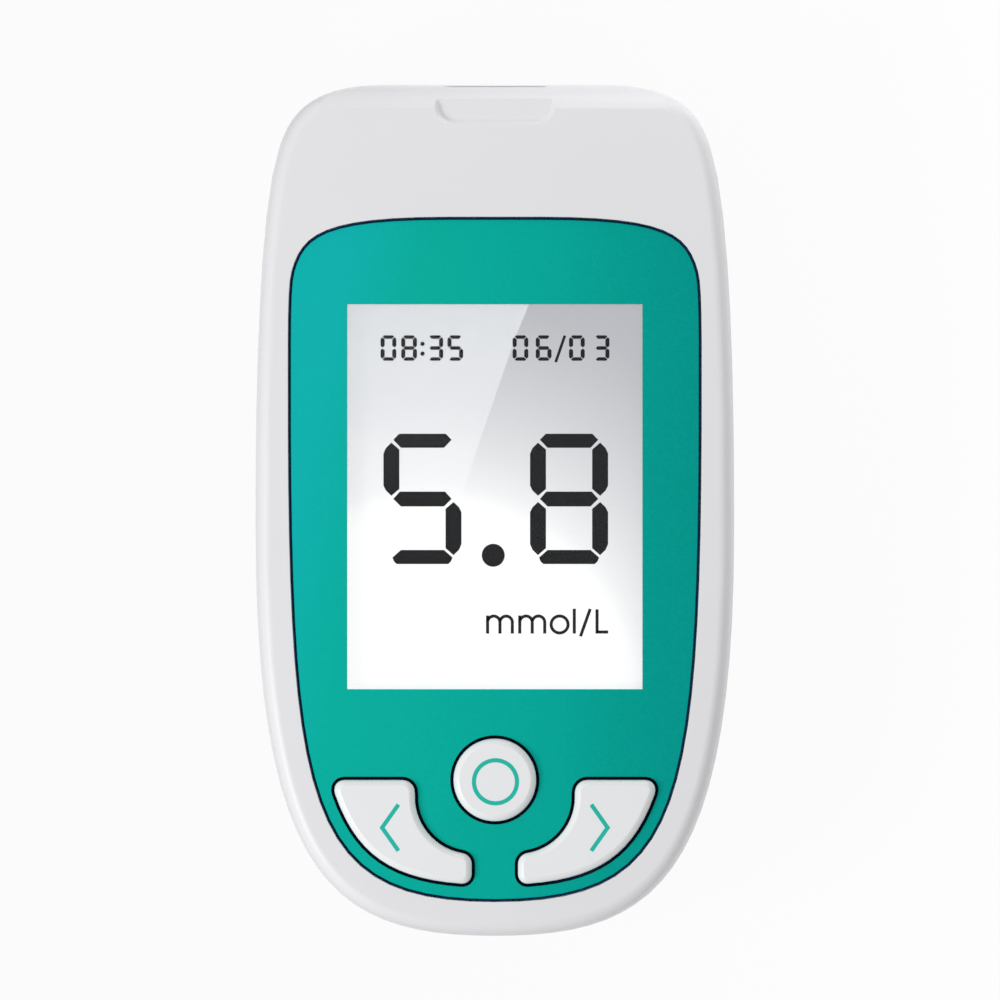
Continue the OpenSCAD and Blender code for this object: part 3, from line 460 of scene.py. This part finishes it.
def windowFinish(look):
    # clear acrylic with a coated face, and a narrow milled edge that is frosted and painted pale,
    # which also stands for a painted highlight along the window's edge
    finish = newFinish("clearAcrylic")
    haze = finish.noise(look["haze"])
    back = finish.add("ShaderNodeNewGeometry", None, None, "Backfacing")
    sheen = finish.add("ShaderNodeFresnel", None, {"IOR": look["index"]})
    glass = finish.add("ShaderNodeBsdfTransparent", None, {"Color": look["clear"]})
    gloss = finish.principled(Base_Color=look["mirrorTone"], Metallic=1.0,
                              Roughness=look["mirrorRoughness"] + look["byHaze"] * haze)
    clear = finish.blend(sheen * (1 - back) * look["reflected"], glass, gloss)
    frost = finish.noise(look["frost"])
    milledEdgeAndHighlight = finish.principled(Base_Color=look["paintedEdgeTone"],
                               Roughness=look["frostRoughness"] + look["byFrost"] * frost)
    low, high = look["lowCorner"], look["highCorner"]
    x, y = finish.axis(0), finish.axis(1)
    inward = look["flange"] + look["edgeWide"]
    outside = (1 - (x > low.x + inward) * (x < high.x - inward)
               * (y > low.y + inward) * (y < high.y - inward))
    frostAndHighlight = outside * (look["frostShare"] + look["byFrost"] * frost)
    return finish.done(finish.blend(frostAndHighlight, clear, milledEdgeAndHighlight))


dressed("display_window", windowFinish(windowLook), "meter", (windowLook["topRim"],))

screenLook = {
    "brightAt": (-7.23 * mm, -21.4 * mm, 0),
    "reach": 52 * mm,
    # grey levels of the painted glow, from the bright spot outwards
    "tones": [(0.0, 252), (0.40, 252), (0.44, 248), (0.458, 242), (0.475, 237), (0.544, 225),
              (0.613, 216), (0.69, 207), (0.777, 198), (0.863, 190), (1.0, 187)],
    "white": 252, "blueShare": 0.07,
    "paintedBacklightGlow": 0.97,
    "reflected": 0.20,
    "mirror": 0.20,      # share of a mirror in the layer behind the figures, in a white room
    "weave": 0.12 * mm, "byWeave": 0.003,
    "roughness": 0.5, "roughnessByWeave": 0.1, "shine": 0.1,
    "mirrorRoughness": 0.006, "mirrorByWeave": 0.001,
}


def screenFinish(look):
    # display that reflects and glows: a backlight's glow painted in, brightest round a spot near
    # its lower edge
    finish = newFinish("displayBackground")
    flat = finish.add("ShaderNodeVectorMath", {"operation": "MULTIPLY"},
                      {0: finish.place(), 1: (1, 1, 0)})
    away = finish.add("ShaderNodeVectorMath", {"operation": "DISTANCE"},
                      {0: flat, 1: look["brightAt"]}, "Value")
    weave = finish.noise(look["weave"], 1)
    share = look["mirror"]
    stops = []
    for at, grey in look["tones"]:
        seen = rgb(grey, grey, grey + (look["white"] - grey) * look["blueShare"])
        stops.append((at, tuple((level - share) / (1 - share) for level in seen)))
    tone = finish.ramp(about(away / look["reach"], (look["byWeave"], weave)), stops)
    black = (0, 0, 0, 1)
    # painted light: both the glow and the base colour fall off from the bright spot
    matte = finish.principled(
        Base_Color=finish.mix(look["reflected"], black, tone),
        Emission_Color=finish.mix(look["paintedBacklightGlow"], black, tone), Emission_Strength=1.0,
        Roughness=look["roughness"] + look["roughnessByWeave"] * weave,
        Specular_IOR_Level=look["shine"])
    mirror = finish.principled(
        Base_Color=(1, 1, 1, 1), Metallic=1.0,
        Roughness=look["mirrorRoughness"] + look["mirrorByWeave"] * weave)
    return finish.done(finish.blend(share, matte, mirror))


painted(screenFinish(screenLook), "lcd_polariser")

# widths and places of the figures are in mm
figureLook = {
    "low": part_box("lcd_polariser")[1].z + 0.005 * mm,
    "thick": 0.03 * mm,
    "ink": rgb(15, 15, 18), "film": 0.2 * mm,
    "bigWide": 8.78, "bigHigh": 14.66, "bigY": 1.305,
    "bigDigits": (("5", -8.147), ("8", 8.351)),
    "smallWide": 1.73, "smallHigh": 2.81, "smallY": 18.28,
    "smallDigits": (("0", -11.97), ("8", -9.65), ("3", -6.70), ("5", -4.45),
                    ("0", 2.88), ("6", 5.49), ("0", 9.23), ("3", 12.01)),
    "pointAt": (-0.18, -5.04), "pointRadius": 1.293,
    "colonX": -8.14, "colonYs": (18.75, 17.65), "colonRadius": 0.24,
    "slash": ((6.84, 16.68), (7.88, 19.68)), "slashPen": 0.31,
}
# corners of the segments of a digit, in mm on a big one, of which the others are mirrors
bigBars = {
    "top": [(-3.28, 6.65), (-2.62, 7.33), (2.62, 7.33), (3.28, 6.65), (2.42, 5.75), (-2.42, 5.75)],
    "middle": [(-3.28, 0), (-2.55, 0.82), (2.55, 0.82), (3.28, 0), (2.42, -0.85), (-2.42, -0.85)],
    "side": [(-3.5, 6.33), (-4.12, 5.72), (-4.39, 5.1), (-4.39, 1.5), (-4.12, 0.95), (-3.5, 0.35),
             (-2.6, 1.12), (-2.6, 5.55)],
    "foot": [(-3.38, -6.6), (-3.2, -7.05), (-2.9, -7.33), (2.9, -7.33), (3.2, -7.05), (3.38, -6.6),
             (2.42, -5.75), (-2.42, -5.75)],
}
# the same for the small digits, which are bolder for their size
smallBars = {
    "top": [(-3.28, 6.7), (-2.57, 7.45), (2.57, 7.45), (3.28, 6.7), (2.1, 5.4), (-2.1, 5.4)],
    "middle": [(-3.28, 0), (-2.4, 1.05), (2.4, 1.05), (3.28, 0), (2.4, -1.05), (-2.4, -1.05)],
    "side": [(-3.5, 6.33), (-4.2, 5.72), (-4.5, 5.1), (-4.5, 1.5), (-4.2, 0.95), (-3.5, 0.35),
             (-2.15, 1.35), (-2.15, 5.05)],
    "foot": [(-3.28, -6.7), (-2.57, -7.45), (2.57, -7.45), (3.28, -6.7), (2.1, -5.4), (-2.1, -5.4)],
}
segmentPlaces = {
    "a": ("top", 1, 1), "g": ("middle", 1, 1), "d": ("foot", 1, 1),
    "f": ("side", 1, 1), "b": ("side", -1, 1), "e": ("side", 1, -1), "c": ("side", -1, -1),
}
digitSegments = {"0": "abcdef", "3": "abgcd", "5": "afgcd", "6": "afgecd", "8": "abcdefg"}


def addDigit(shape, digit, x, size, bars, look):
    across = look[size + "Wide"] / look["bigWide"]
    up = look[size + "High"] / look["bigHigh"]
    for letter in digitSegments[digit]:
        bar, flipX, flipY = segmentPlaces[letter]
        corners = [(x + px * flipX * across, look[size + "Y"] + py * flipY * up)
                   for px, py in bars[bar]]
        addPlate(shape, corners, look["low"], look["thick"])


unitLook = {
    "base": -13.85, "pen": 0.35, "tall": 2.80, "xHeight": 2.03, "arch": 1.27,
    "archTurn": 168, "archSteps": 20,
    "stems": ((-0.818, 0.574, 1.966), (2.802, 4.206, 5.611)),
    "ringAt": 7.286, "ringRadius": 0.951, "ringSteps": 48, "stickAt": 8.94,
    "slash": ((9.637, -0.31), (10.73, 2.776)),
    "cornerAt": 11.5, "cornerEnd": 12.748, "cornerLower": 0.07,
}


def addUnit(shape, look, low, thick):
    # plain round letters drawn with one pen on a common base line
    base, pen = look["base"], look["pen"]
    for stems in look["stems"]:
        addStroke(shape, (stems[0], base), (stems[0], base + look["xHeight"]), pen, low, thick)
        for left, right in zip(stems, stems[1:]):
            addStroke(shape, (right, base), (right, base + look["arch"]), pen, low, thick)
            addArc(shape, ((left + right) / 2, base + look["arch"]), (right - left) / 2, pen,
                   look["archTurn"], look["archSteps"], low, thick)
    addArc(shape, (look["ringAt"], base + look["ringRadius"] + pen / 5), look["ringRadius"], pen,
           360, look["ringSteps"], low, thick)
    addStroke(shape, (look["stickAt"], base), (look["stickAt"], base + look["tall"]), pen,
              low, thick)
    start, end = look["slash"]
    addStroke(shape, (start[0], base + start[1]), (end[0], base + end[1]), pen, low, thick)
    corner = look["cornerAt"]
    addStroke(shape, (corner, base), (corner, base + look["tall"] - look["cornerLower"]), pen,
              low, thick)
    addStroke(shape, (corner, base + pen / 2), (look["cornerEnd"], base + pen / 2), pen,
              low, thick)


figures = bmesh.new()
for size, bars in (("big", bigBars), ("small", smallBars)):
    for digit, x in figureLook[size + "Digits"]:
        addDigit(figures, digit, x, size, bars, figureLook)
figureHeights = (figureLook["low"], figureLook["thick"])
addDot(figures, *figureLook["pointAt"], figureLook["pointRadius"], *figureHeights)
for y in figureLook["colonYs"]:
    addDot(figures, figureLook["colonX"], y, figureLook["colonRadius"], *figureHeights)
addStroke(figures, *figureLook["slash"], figureLook["slashPen"], *figureHeights)
addUnit(figures, unitLook, *figureHeights)
figureInk = inkFinish("figureInk", figureLook["ink"], figureLook["film"])
pieceOf("displayFigures", closed(figures), figureInk, "meter")
print("display done")

keyLook = {
    "pale": rgb(231, 232, 234),
    "deep": rgb(228, 229, 231),
    "drift": 5 * mm,
    # painted shade: below the tape's top the key is dark navy, for the gap round it
    "gapShadeTone": rgb(10, 62, 100), "gapShadeLight": rgb(18, 80, 120),
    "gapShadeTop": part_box("faceplate_adhesive")[1].z,
    "grain": 0.18 * mm, "grainDetail": 3,
    "grainDepth": 0.0015 * mm,
    "roughness": 0.36, "gapShadeRougher": 0.35, "byGrain": 0.08, "shine": 0.4,
    "topRim": (0.06 * mm, {"z": (20.7, 25)}, 17), "crisp": 40,
}


def keyFinish(look):
    # satin plastic cap; below the tape's top the key is painted dark navy and rougher, painted
    # shade for the gap round the key
    finish = newFinish("keyPlastic")
    drift = finish.noise(look["drift"])
    grain = finish.noise(look["grain"], look["grainDetail"])
    gapShade = finish.axis(2) < look["gapShadeTop"]
    cap = finish.mix(drift, look["pale"], look["deep"])
    gapShadeColour = finish.mix(grain, look["gapShadeTone"], look["gapShadeLight"])
    return finish.done(finish.principled(
        Base_Color=finish.mix(gapShade, cap, gapShadeColour),
        Roughness=about(look["roughness"] + look["gapShadeRougher"] * gapShade,
                        (look["byGrain"], grain)),
        Normal=finish.bump(grain, look["grainDepth"]), Specular_IOR_Level=look["shine"]))


keyPlastic = keyFinish(keyLook)
for node, body in (("centre_button", "centre_key"), ("left_button", "left_key"),
                   ("right_button", "right_key")):
    dressed(node, keyPlastic, body, (keyLook["topRim"],), keyLook["crisp"])

# widths and places of the signs are in mm
signLook = {
    "ink": rgb(28, 178, 160), "film": 0.15 * mm,
    "low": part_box("centre_button")[1].z - 0.004 * mm,
    "thick": 0.016 * mm,
    "ringAt": (0.07, -30.5), "ringRadius": 2.42, "ringPen": 0.47, "ringSteps": 96,
    "arrowTip": 12.68, "arrowEnd": 10.84, "arrowRise": 2.6, "arrowY": -35.66, "arrowPen": 0.47,
}
signInk = inkFinish("signInk", signLook["ink"], signLook["film"])


def addArrow(shape, side, look):
    # two arms of one pen that meet in a sharp corner on the arrow's own axis
    tip = Vector((look["arrowTip"] * side, look["arrowY"]))
    arm = Vector(((look["arrowTip"] - look["arrowEnd"]) * side, -look["arrowRise"]))
    across = arm.normalized().orthogonal() * look["arrowPen"] / 2
    if across.x * side < 0:
        across.negate()
    mitre = Vector((side * look["arrowPen"] / 2 / abs(arm.normalized().y), 0))
    high, flip = tip - arm, Vector((1, -1))
    low, lowAcross = tip - arm * flip, across * flip
    addPlate(shape, [high + across, tip + mitre, low + lowAcross, low - lowAcross, tip - mitre,
                     high - across], look["low"], look["thick"])


for name, body, side in (("ringSign", "centre_key", 0), ("leftArrow", "left_key", -1),
                         ("rightArrow", "right_key", 1)):
    sign = bmesh.new()
    if side:
        addArrow(sign, side, signLook)
    else:
        addArc(sign, signLook["ringAt"], signLook["ringRadius"], signLook["ringPen"], 360,
               signLook["ringSteps"], signLook["low"], signLook["thick"])
    pieceOf(name, closed(sign), signInk, body)
print("buttons done")

portLook = {"pale": rgb(66, 70, 78), "deep": rgb(58, 62, 70), "grain": 0.2 * mm,
            "grainDepth": 0.006 * mm, "roughness": 0.42,
            "faceRim": (0.12 * mm, {"y": (47, 50)}, 30)}
dressed("strip_port_bezel", plasticFinish("portPlastic", portLook), "meter",
        (portLook["faceRim"],))

connectorLook = {"pale": rgb(231, 228, 216), "deep": rgb(224, 220, 206), "grain": 0.25 * mm,
                 "grainDepth": 0.005 * mm, "roughness": 0.5}
painted(plasticFinish("connectorPlastic", connectorLook), "strip_connector")

goldLook = {"bright": (0.95, 0.72, 0.33, 1), "dull": (0.80, 0.57, 0.24, 1), "lines": 0.05 * mm,
            "stretch": (1, 0.05, 1), "roughness": 0.28}
painted(metalFinish("goldPlate", goldLook), "strip_contacts")
print("strip port done")

frameLook = {"pale": rgb(52, 54, 57), "deep": rgb(44, 46, 49), "grain": 0.25 * mm,
             "grainDepth": 0.006 * mm, "roughness": 0.55}
painted(plasticFinish("framePlastic", frameLook), "lcd_frame")

lightLook = {"pale": rgb(244, 244, 246), "deep": rgb(236, 237, 240), "grain": 0.35 * mm,
             "grainDepth": 0.004 * mm, "roughness": 0.35}
painted(plasticFinish("lightPanel", lightLook), "backlight_panel")

rubberLook = {"pale": rgb(226, 150, 160), "deep": rgb(208, 128, 140), "grain": 0.2 * mm,
              "grainDepth": 0.006 * mm, "roughness": 0.6}
painted(plasticFinish("siliconeRubber", rubberLook), "zebra_connector")

ceramicLook = {"pale": rgb(208, 190, 160), "deep": rgb(190, 168, 134), "grain": 0.12 * mm,
               "grainDepth": 0.004 * mm, "roughness": 0.5}
painted(plasticFinish("ceramicBody", ceramicLook), "capacitors")

chipLook = {"pale": rgb(34, 34, 36), "deep": rgb(26, 26, 28), "grain": 0.1 * mm,
            "grainDepth": 0.006 * mm, "roughness": 0.55}
painted(plasticFinish("chipEpoxy", chipLook), "microcontroller", "analogue_chip", "buzzer")

plungerLook = {"pale": rgb(56, 56, 60), "deep": rgb(46, 46, 50), "grain": 0.15 * mm,
               "grainDepth": 0.004 * mm, "roughness": 0.45, "play": 0.02 * mm,
               "rim": (0.08 * mm, {}, 30)}
plungerPlastic = plasticFinish("plungerPlastic", plungerLook)
for node, body in (("centre_plunger", "centre_key"), ("left_plunger", "left_key"),
                   ("right_plunger", "right_key")):
    plunger = dressed(node, plungerPlastic, body, (plungerLook["rim"],))
    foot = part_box(node)[0].z
    for vertex in plunger.data.vertices:      # a hair of play where a pressed plunger stops
        vertex.co.z = max(vertex.co.z, foot + plungerLook["play"])

glassLook = {"pale": rgb(208, 214, 216), "deep": rgb(200, 207, 210), "grain": 0.5 * mm,
             "grainDepth": 0.001 * mm, "roughness": 0.08}
painted(plasticFinish("displayGlass", glassLook), "lcd_glass")

boardLook = {"mask": rgb(14, 92, 54), "track": rgb(34, 122, 74), "pitch": 1.1 * mm,
             "uneven": 0.7, "trackFrom": 0.05, "trackTo": 0.12, "depth": 0.02 * mm,
             "grain": 0.15 * mm, "roughness": 0.3, "byGrain": 0.1}


def boardFinish(look):
    # solder mask that shows the copper tracks under it
    finish = newFinish("solderMask")
    lines = finish.add("ShaderNodeTexVoronoi", {"feature": "DISTANCE_TO_EDGE"},
                       {"Vector": finish.place(), "Scale": 1 / look["pitch"],
                        "Randomness": look["uneven"]})
    track = finish.between(lines, look["trackFrom"], look["trackTo"], 1, 0)
    grain = finish.noise(look["grain"])
    return finish.done(finish.principled(
        Base_Color=finish.mix(track, look["mask"], look["track"]),
        Roughness=look["roughness"] + look["byGrain"] * grain,
        Normal=finish.bump(track + look["byGrain"] * grain, look["depth"])))


painted(boardFinish(boardLook), "main_board")

steelLook = {"bright": (0.78, 0.78, 0.76, 1), "dull": (0.60, 0.60, 0.59, 1), "lines": 0.06 * mm,
             "stretch": (1, 0.05, 1), "roughness": 0.32, "sheetRim": (0.05 * mm, {}, 40),
             "wireCrisp": 70}
platedSteel = metalFinish("platedSteel", steelLook)
painted(platedSteel, "crystal_oscillator", "centre_switch", "left_switch", "right_switch",
        "board_screws")
for node in ("positive_contact", "negative_contact", "link_contact"):
    dressed(node, platedSteel, "meter", (steelLook["sheetRim"],))
for node in ("left_spring", "right_spring"):
    dressed(node, platedSteel, "meter", (), steelLook["wireCrisp"])
print("inside done")

cellLook = {
    "wrap": rgb(44, 48, 54), "band": rgb(196, 148, 92), "bandLong": 9 * mm,
    "metal": (0.72, 0.72, 0.70, 1), "lip": 0.5 * mm, "nub": 1 * mm,
    "film": 0.22 * mm, "filmStretch": (1, 0.2, 1), "filmDepth": 0.008 * mm,
    "roughness": 0.28, "byFilm": 0.12, "rim": (0.15 * mm, {}, 60),
}


def cellFinish(name, node, nubUp, look):
    # plain shrink sleeve with a band at the plus end, and bare metal at both ends
    low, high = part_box(node)
    finish = newFinish(name)
    along = finish.axis(1) - low.y if nubUp else high.y - finish.axis(1)
    canEnd = high.y - low.y - look["nub"]
    sleeve = (along > look["lip"]) * (along < canEnd - look["lip"])
    band = along > canEnd - look["bandLong"]
    colour = finish.mix(sleeve, look["metal"], finish.mix(band, look["wrap"], look["band"]))
    film = finish.noise(look["film"], stretch=look["filmStretch"])
    return finish.done(finish.principled(
        Base_Color=colour, Metallic=1 - sleeve,
        Roughness=look["roughness"] + look["byFilm"] * film,
        Normal=finish.bump(film, look["filmDepth"])))


for node, nubUp in (("battery_left", True), ("battery_right", False)):
    dressed(node, cellFinish(node + "Sleeve", node, nubUp, cellLook), "meter",
            (cellLook["rim"],))
print("cells done")

footLook = {"pale": rgb(64, 66, 69), "deep": rgb(54, 56, 59), "grain": 0.2 * mm,
            "grainDepth": 0.015 * mm, "roughness": 0.8, "rim": (0.15 * mm, {}, 60)}
dressed("rubber_feet", plasticFinish("footRubber", footLook), "meter",
        (footLook["rim"],))
screwLook = {"bright": (0.66, 0.66, 0.67, 1), "dull": (0.48, 0.48, 0.49, 1), "lines": 0.05 * mm,
             "stretch": (1, 1, 0.1), "roughness": 0.34, "rim": (0.1 * mm, {}, 60)}
dressed("housing_screws", metalFinish("screwZinc", screwLook), "meter",
        (screwLook["rim"],))
print("feet and screws done")

paperLook = {"left": (0.3, 0.3, 0.3, 1.0), "right": (0.85, 0.85, 0.85, 1.0), "turn": 60 * mm,
             "size": 4.0, "whiteShare": 0.94}


def stagePlate(name, shape, material):
    holder = placed(name, shape, material)
    return holder


def seenDirectly(finish):
    # 1 for what the camera, a mirror or clear glass shows
    rays = [finish.add("ShaderNodeLightPath", None, None, kind)
            for kind in ("Is Camera Ray", "Is Glossy Ray", "Is Transmission Ray")]
    return rays[0] + rays[1] + rays[2]


def paperFinish(look):
    # white paper that keeps the shadow, throws less light on the lamp's side, and is clear
    # from below
    finish = newFinish("paper")
    below = finish.add("ShaderNodeNewGeometry", None, None, "Backfacing")
    tone = finish.mix(finish.between(finish.axis(0), -look["turn"], look["turn"]),
                      look["left"], look["right"])
    matte = finish.add("ShaderNodeBsdfDiffuse", None, {"Color": tone})
    white = finish.add("ShaderNodeEmission", None, {"Strength": 1.0})
    lit = finish.blend(seenDirectly(finish) * look["whiteShare"], matte, white)
    return finish.done(finish.blend(below, lit, finish.add("ShaderNodeBsdfTransparent")))


floorShape = bmesh.new()
bmesh.ops.create_grid(floorShape, x_segments=1, y_segments=1, size=paperLook["size"] / 2)
stagePlate("paperFloor", floorShape, paperFinish(paperLook))

# a card above the display that only reflections show: the slanted glare on the window
cardLook = {
    "height": 80 * mm, "thick": 0.1 * mm,
    "spread": 1.02,      # size of the card against its reflection
    "edge": [(-18, 25), (4.6, 25), (3.9, 23.3), (2.6, 20.2), (0.46, 14.1), (-1.43, 8.66),
             (-2.85, 4.39), (-4.9, -2), (-18, -2)],
    "tones": [(0.0, 0.0), (0.12, 0.0), (0.33, 0.42), (0.52, 0.53), (0.74, 0.8), (1.0, 1.0)],
    "redShare": 0.97, "lowY": -2 * mm, "highY": 24 * mm,
    "strength": 0.58,    # of each of its two faces
}


def cardFinish(look):
    finish = newFinish("lightCard")
    up = finish.between(finish.axis(1), look["lowY"] * look["spread"],
                        look["highY"] * look["spread"])
    glow = finish.ramp(up, [(at, (tone * look["redShare"], tone, tone, 1))
                            for at, tone in look["tones"]])
    light = finish.add("ShaderNodeEmission", None, {"Color": glow, "Strength": look["strength"]})
    clear = finish.add("ShaderNodeBsdfTransparent")
    return finish.done(finish.add("ShaderNodeAddShader", None, {0: light, 1: clear}))


cardShape = bmesh.new()
cardEdge = [(x * cardLook["spread"], y * cardLook["spread"]) for x, y in cardLook["edge"]]
addPlate(cardShape, cardEdge, cardLook["height"], cardLook["thick"])
lightCard = stagePlate("lightCard", cardShape, cardFinish(cardLook))
lightCard.visible_camera = False
lightCard.visible_diffuse = False
lightCard.visible_shadow = False
lightCard.visible_transmission = False

lampLook = {
    # place, aim, size, and the level that a surface facing the lamp gets
    "sideLamp": ((-0.30, -0.125, 0.26), (0, 0, 0.02), 0.14, 0.54),
    "endLamp": ((0.05, 0.155, 0.05), (0, 0.045, 0.018), 0.08, 0.48),
}
levelPower = 9.9     # watts with which a disc lamp gives the level 1 at a metre
for name, (place, target, size, level) in lampLook.items():
    lamp = bpy.data.lights.new(name, "AREA")
    lamp.shape = "DISK"
    lamp.size = size
    aim = Vector(target) - Vector(place)
    lamp.energy = levelPower * level * aim.length_squared
    holder = bpy.data.objects.new(name, lamp)
    holder.location = place
    holder.rotation_mode = "QUATERNION"
    holder.rotation_quaternion = aim.to_track_quat("-Z", "Y")
    holder.visible_camera = False
    scene.collection.objects.link(holder)

worldLook = {"onTheMeter": 0.775, "seen": 1.0}
scene.world = bpy.data.worlds.new("studio")
sky = Finish(scene.world)
seenGain = worldLook["seen"] - worldLook["onTheMeter"]
skyLevel = worldLook["onTheMeter"] + seenDirectly(sky) * seenGain
sky.done(sky.add("ShaderNodeBackground", None, {"Strength": skyLevel}), "ShaderNodeOutputWorld")

cameraLook = {"lens": 1000.0, "sensor": 36.0, "pixels": 1000, "pixelsPerMetre": 8892.0,
              "faceHeight": 20.6 * mm, "middle": (0.58 * mm, 1.18 * mm)}
eye = bpy.data.cameras.new("camera")
eye.lens = cameraLook["lens"]
eye.sensor_width = cameraLook["sensor"]
eye.clip_start = 0.1
eye.clip_end = 20.0
camera = bpy.data.objects.new("camera", eye)
pictureWidth = cameraLook["pixels"] / cameraLook["pixelsPerMetre"]
reach = cameraLook["lens"] / cameraLook["sensor"] * pictureWidth
camera.location = (*cameraLook["middle"], cameraLook["faceHeight"] + reach)
scene.collection.objects.link(camera)
scene.camera = camera
print("stage, light and camera done")
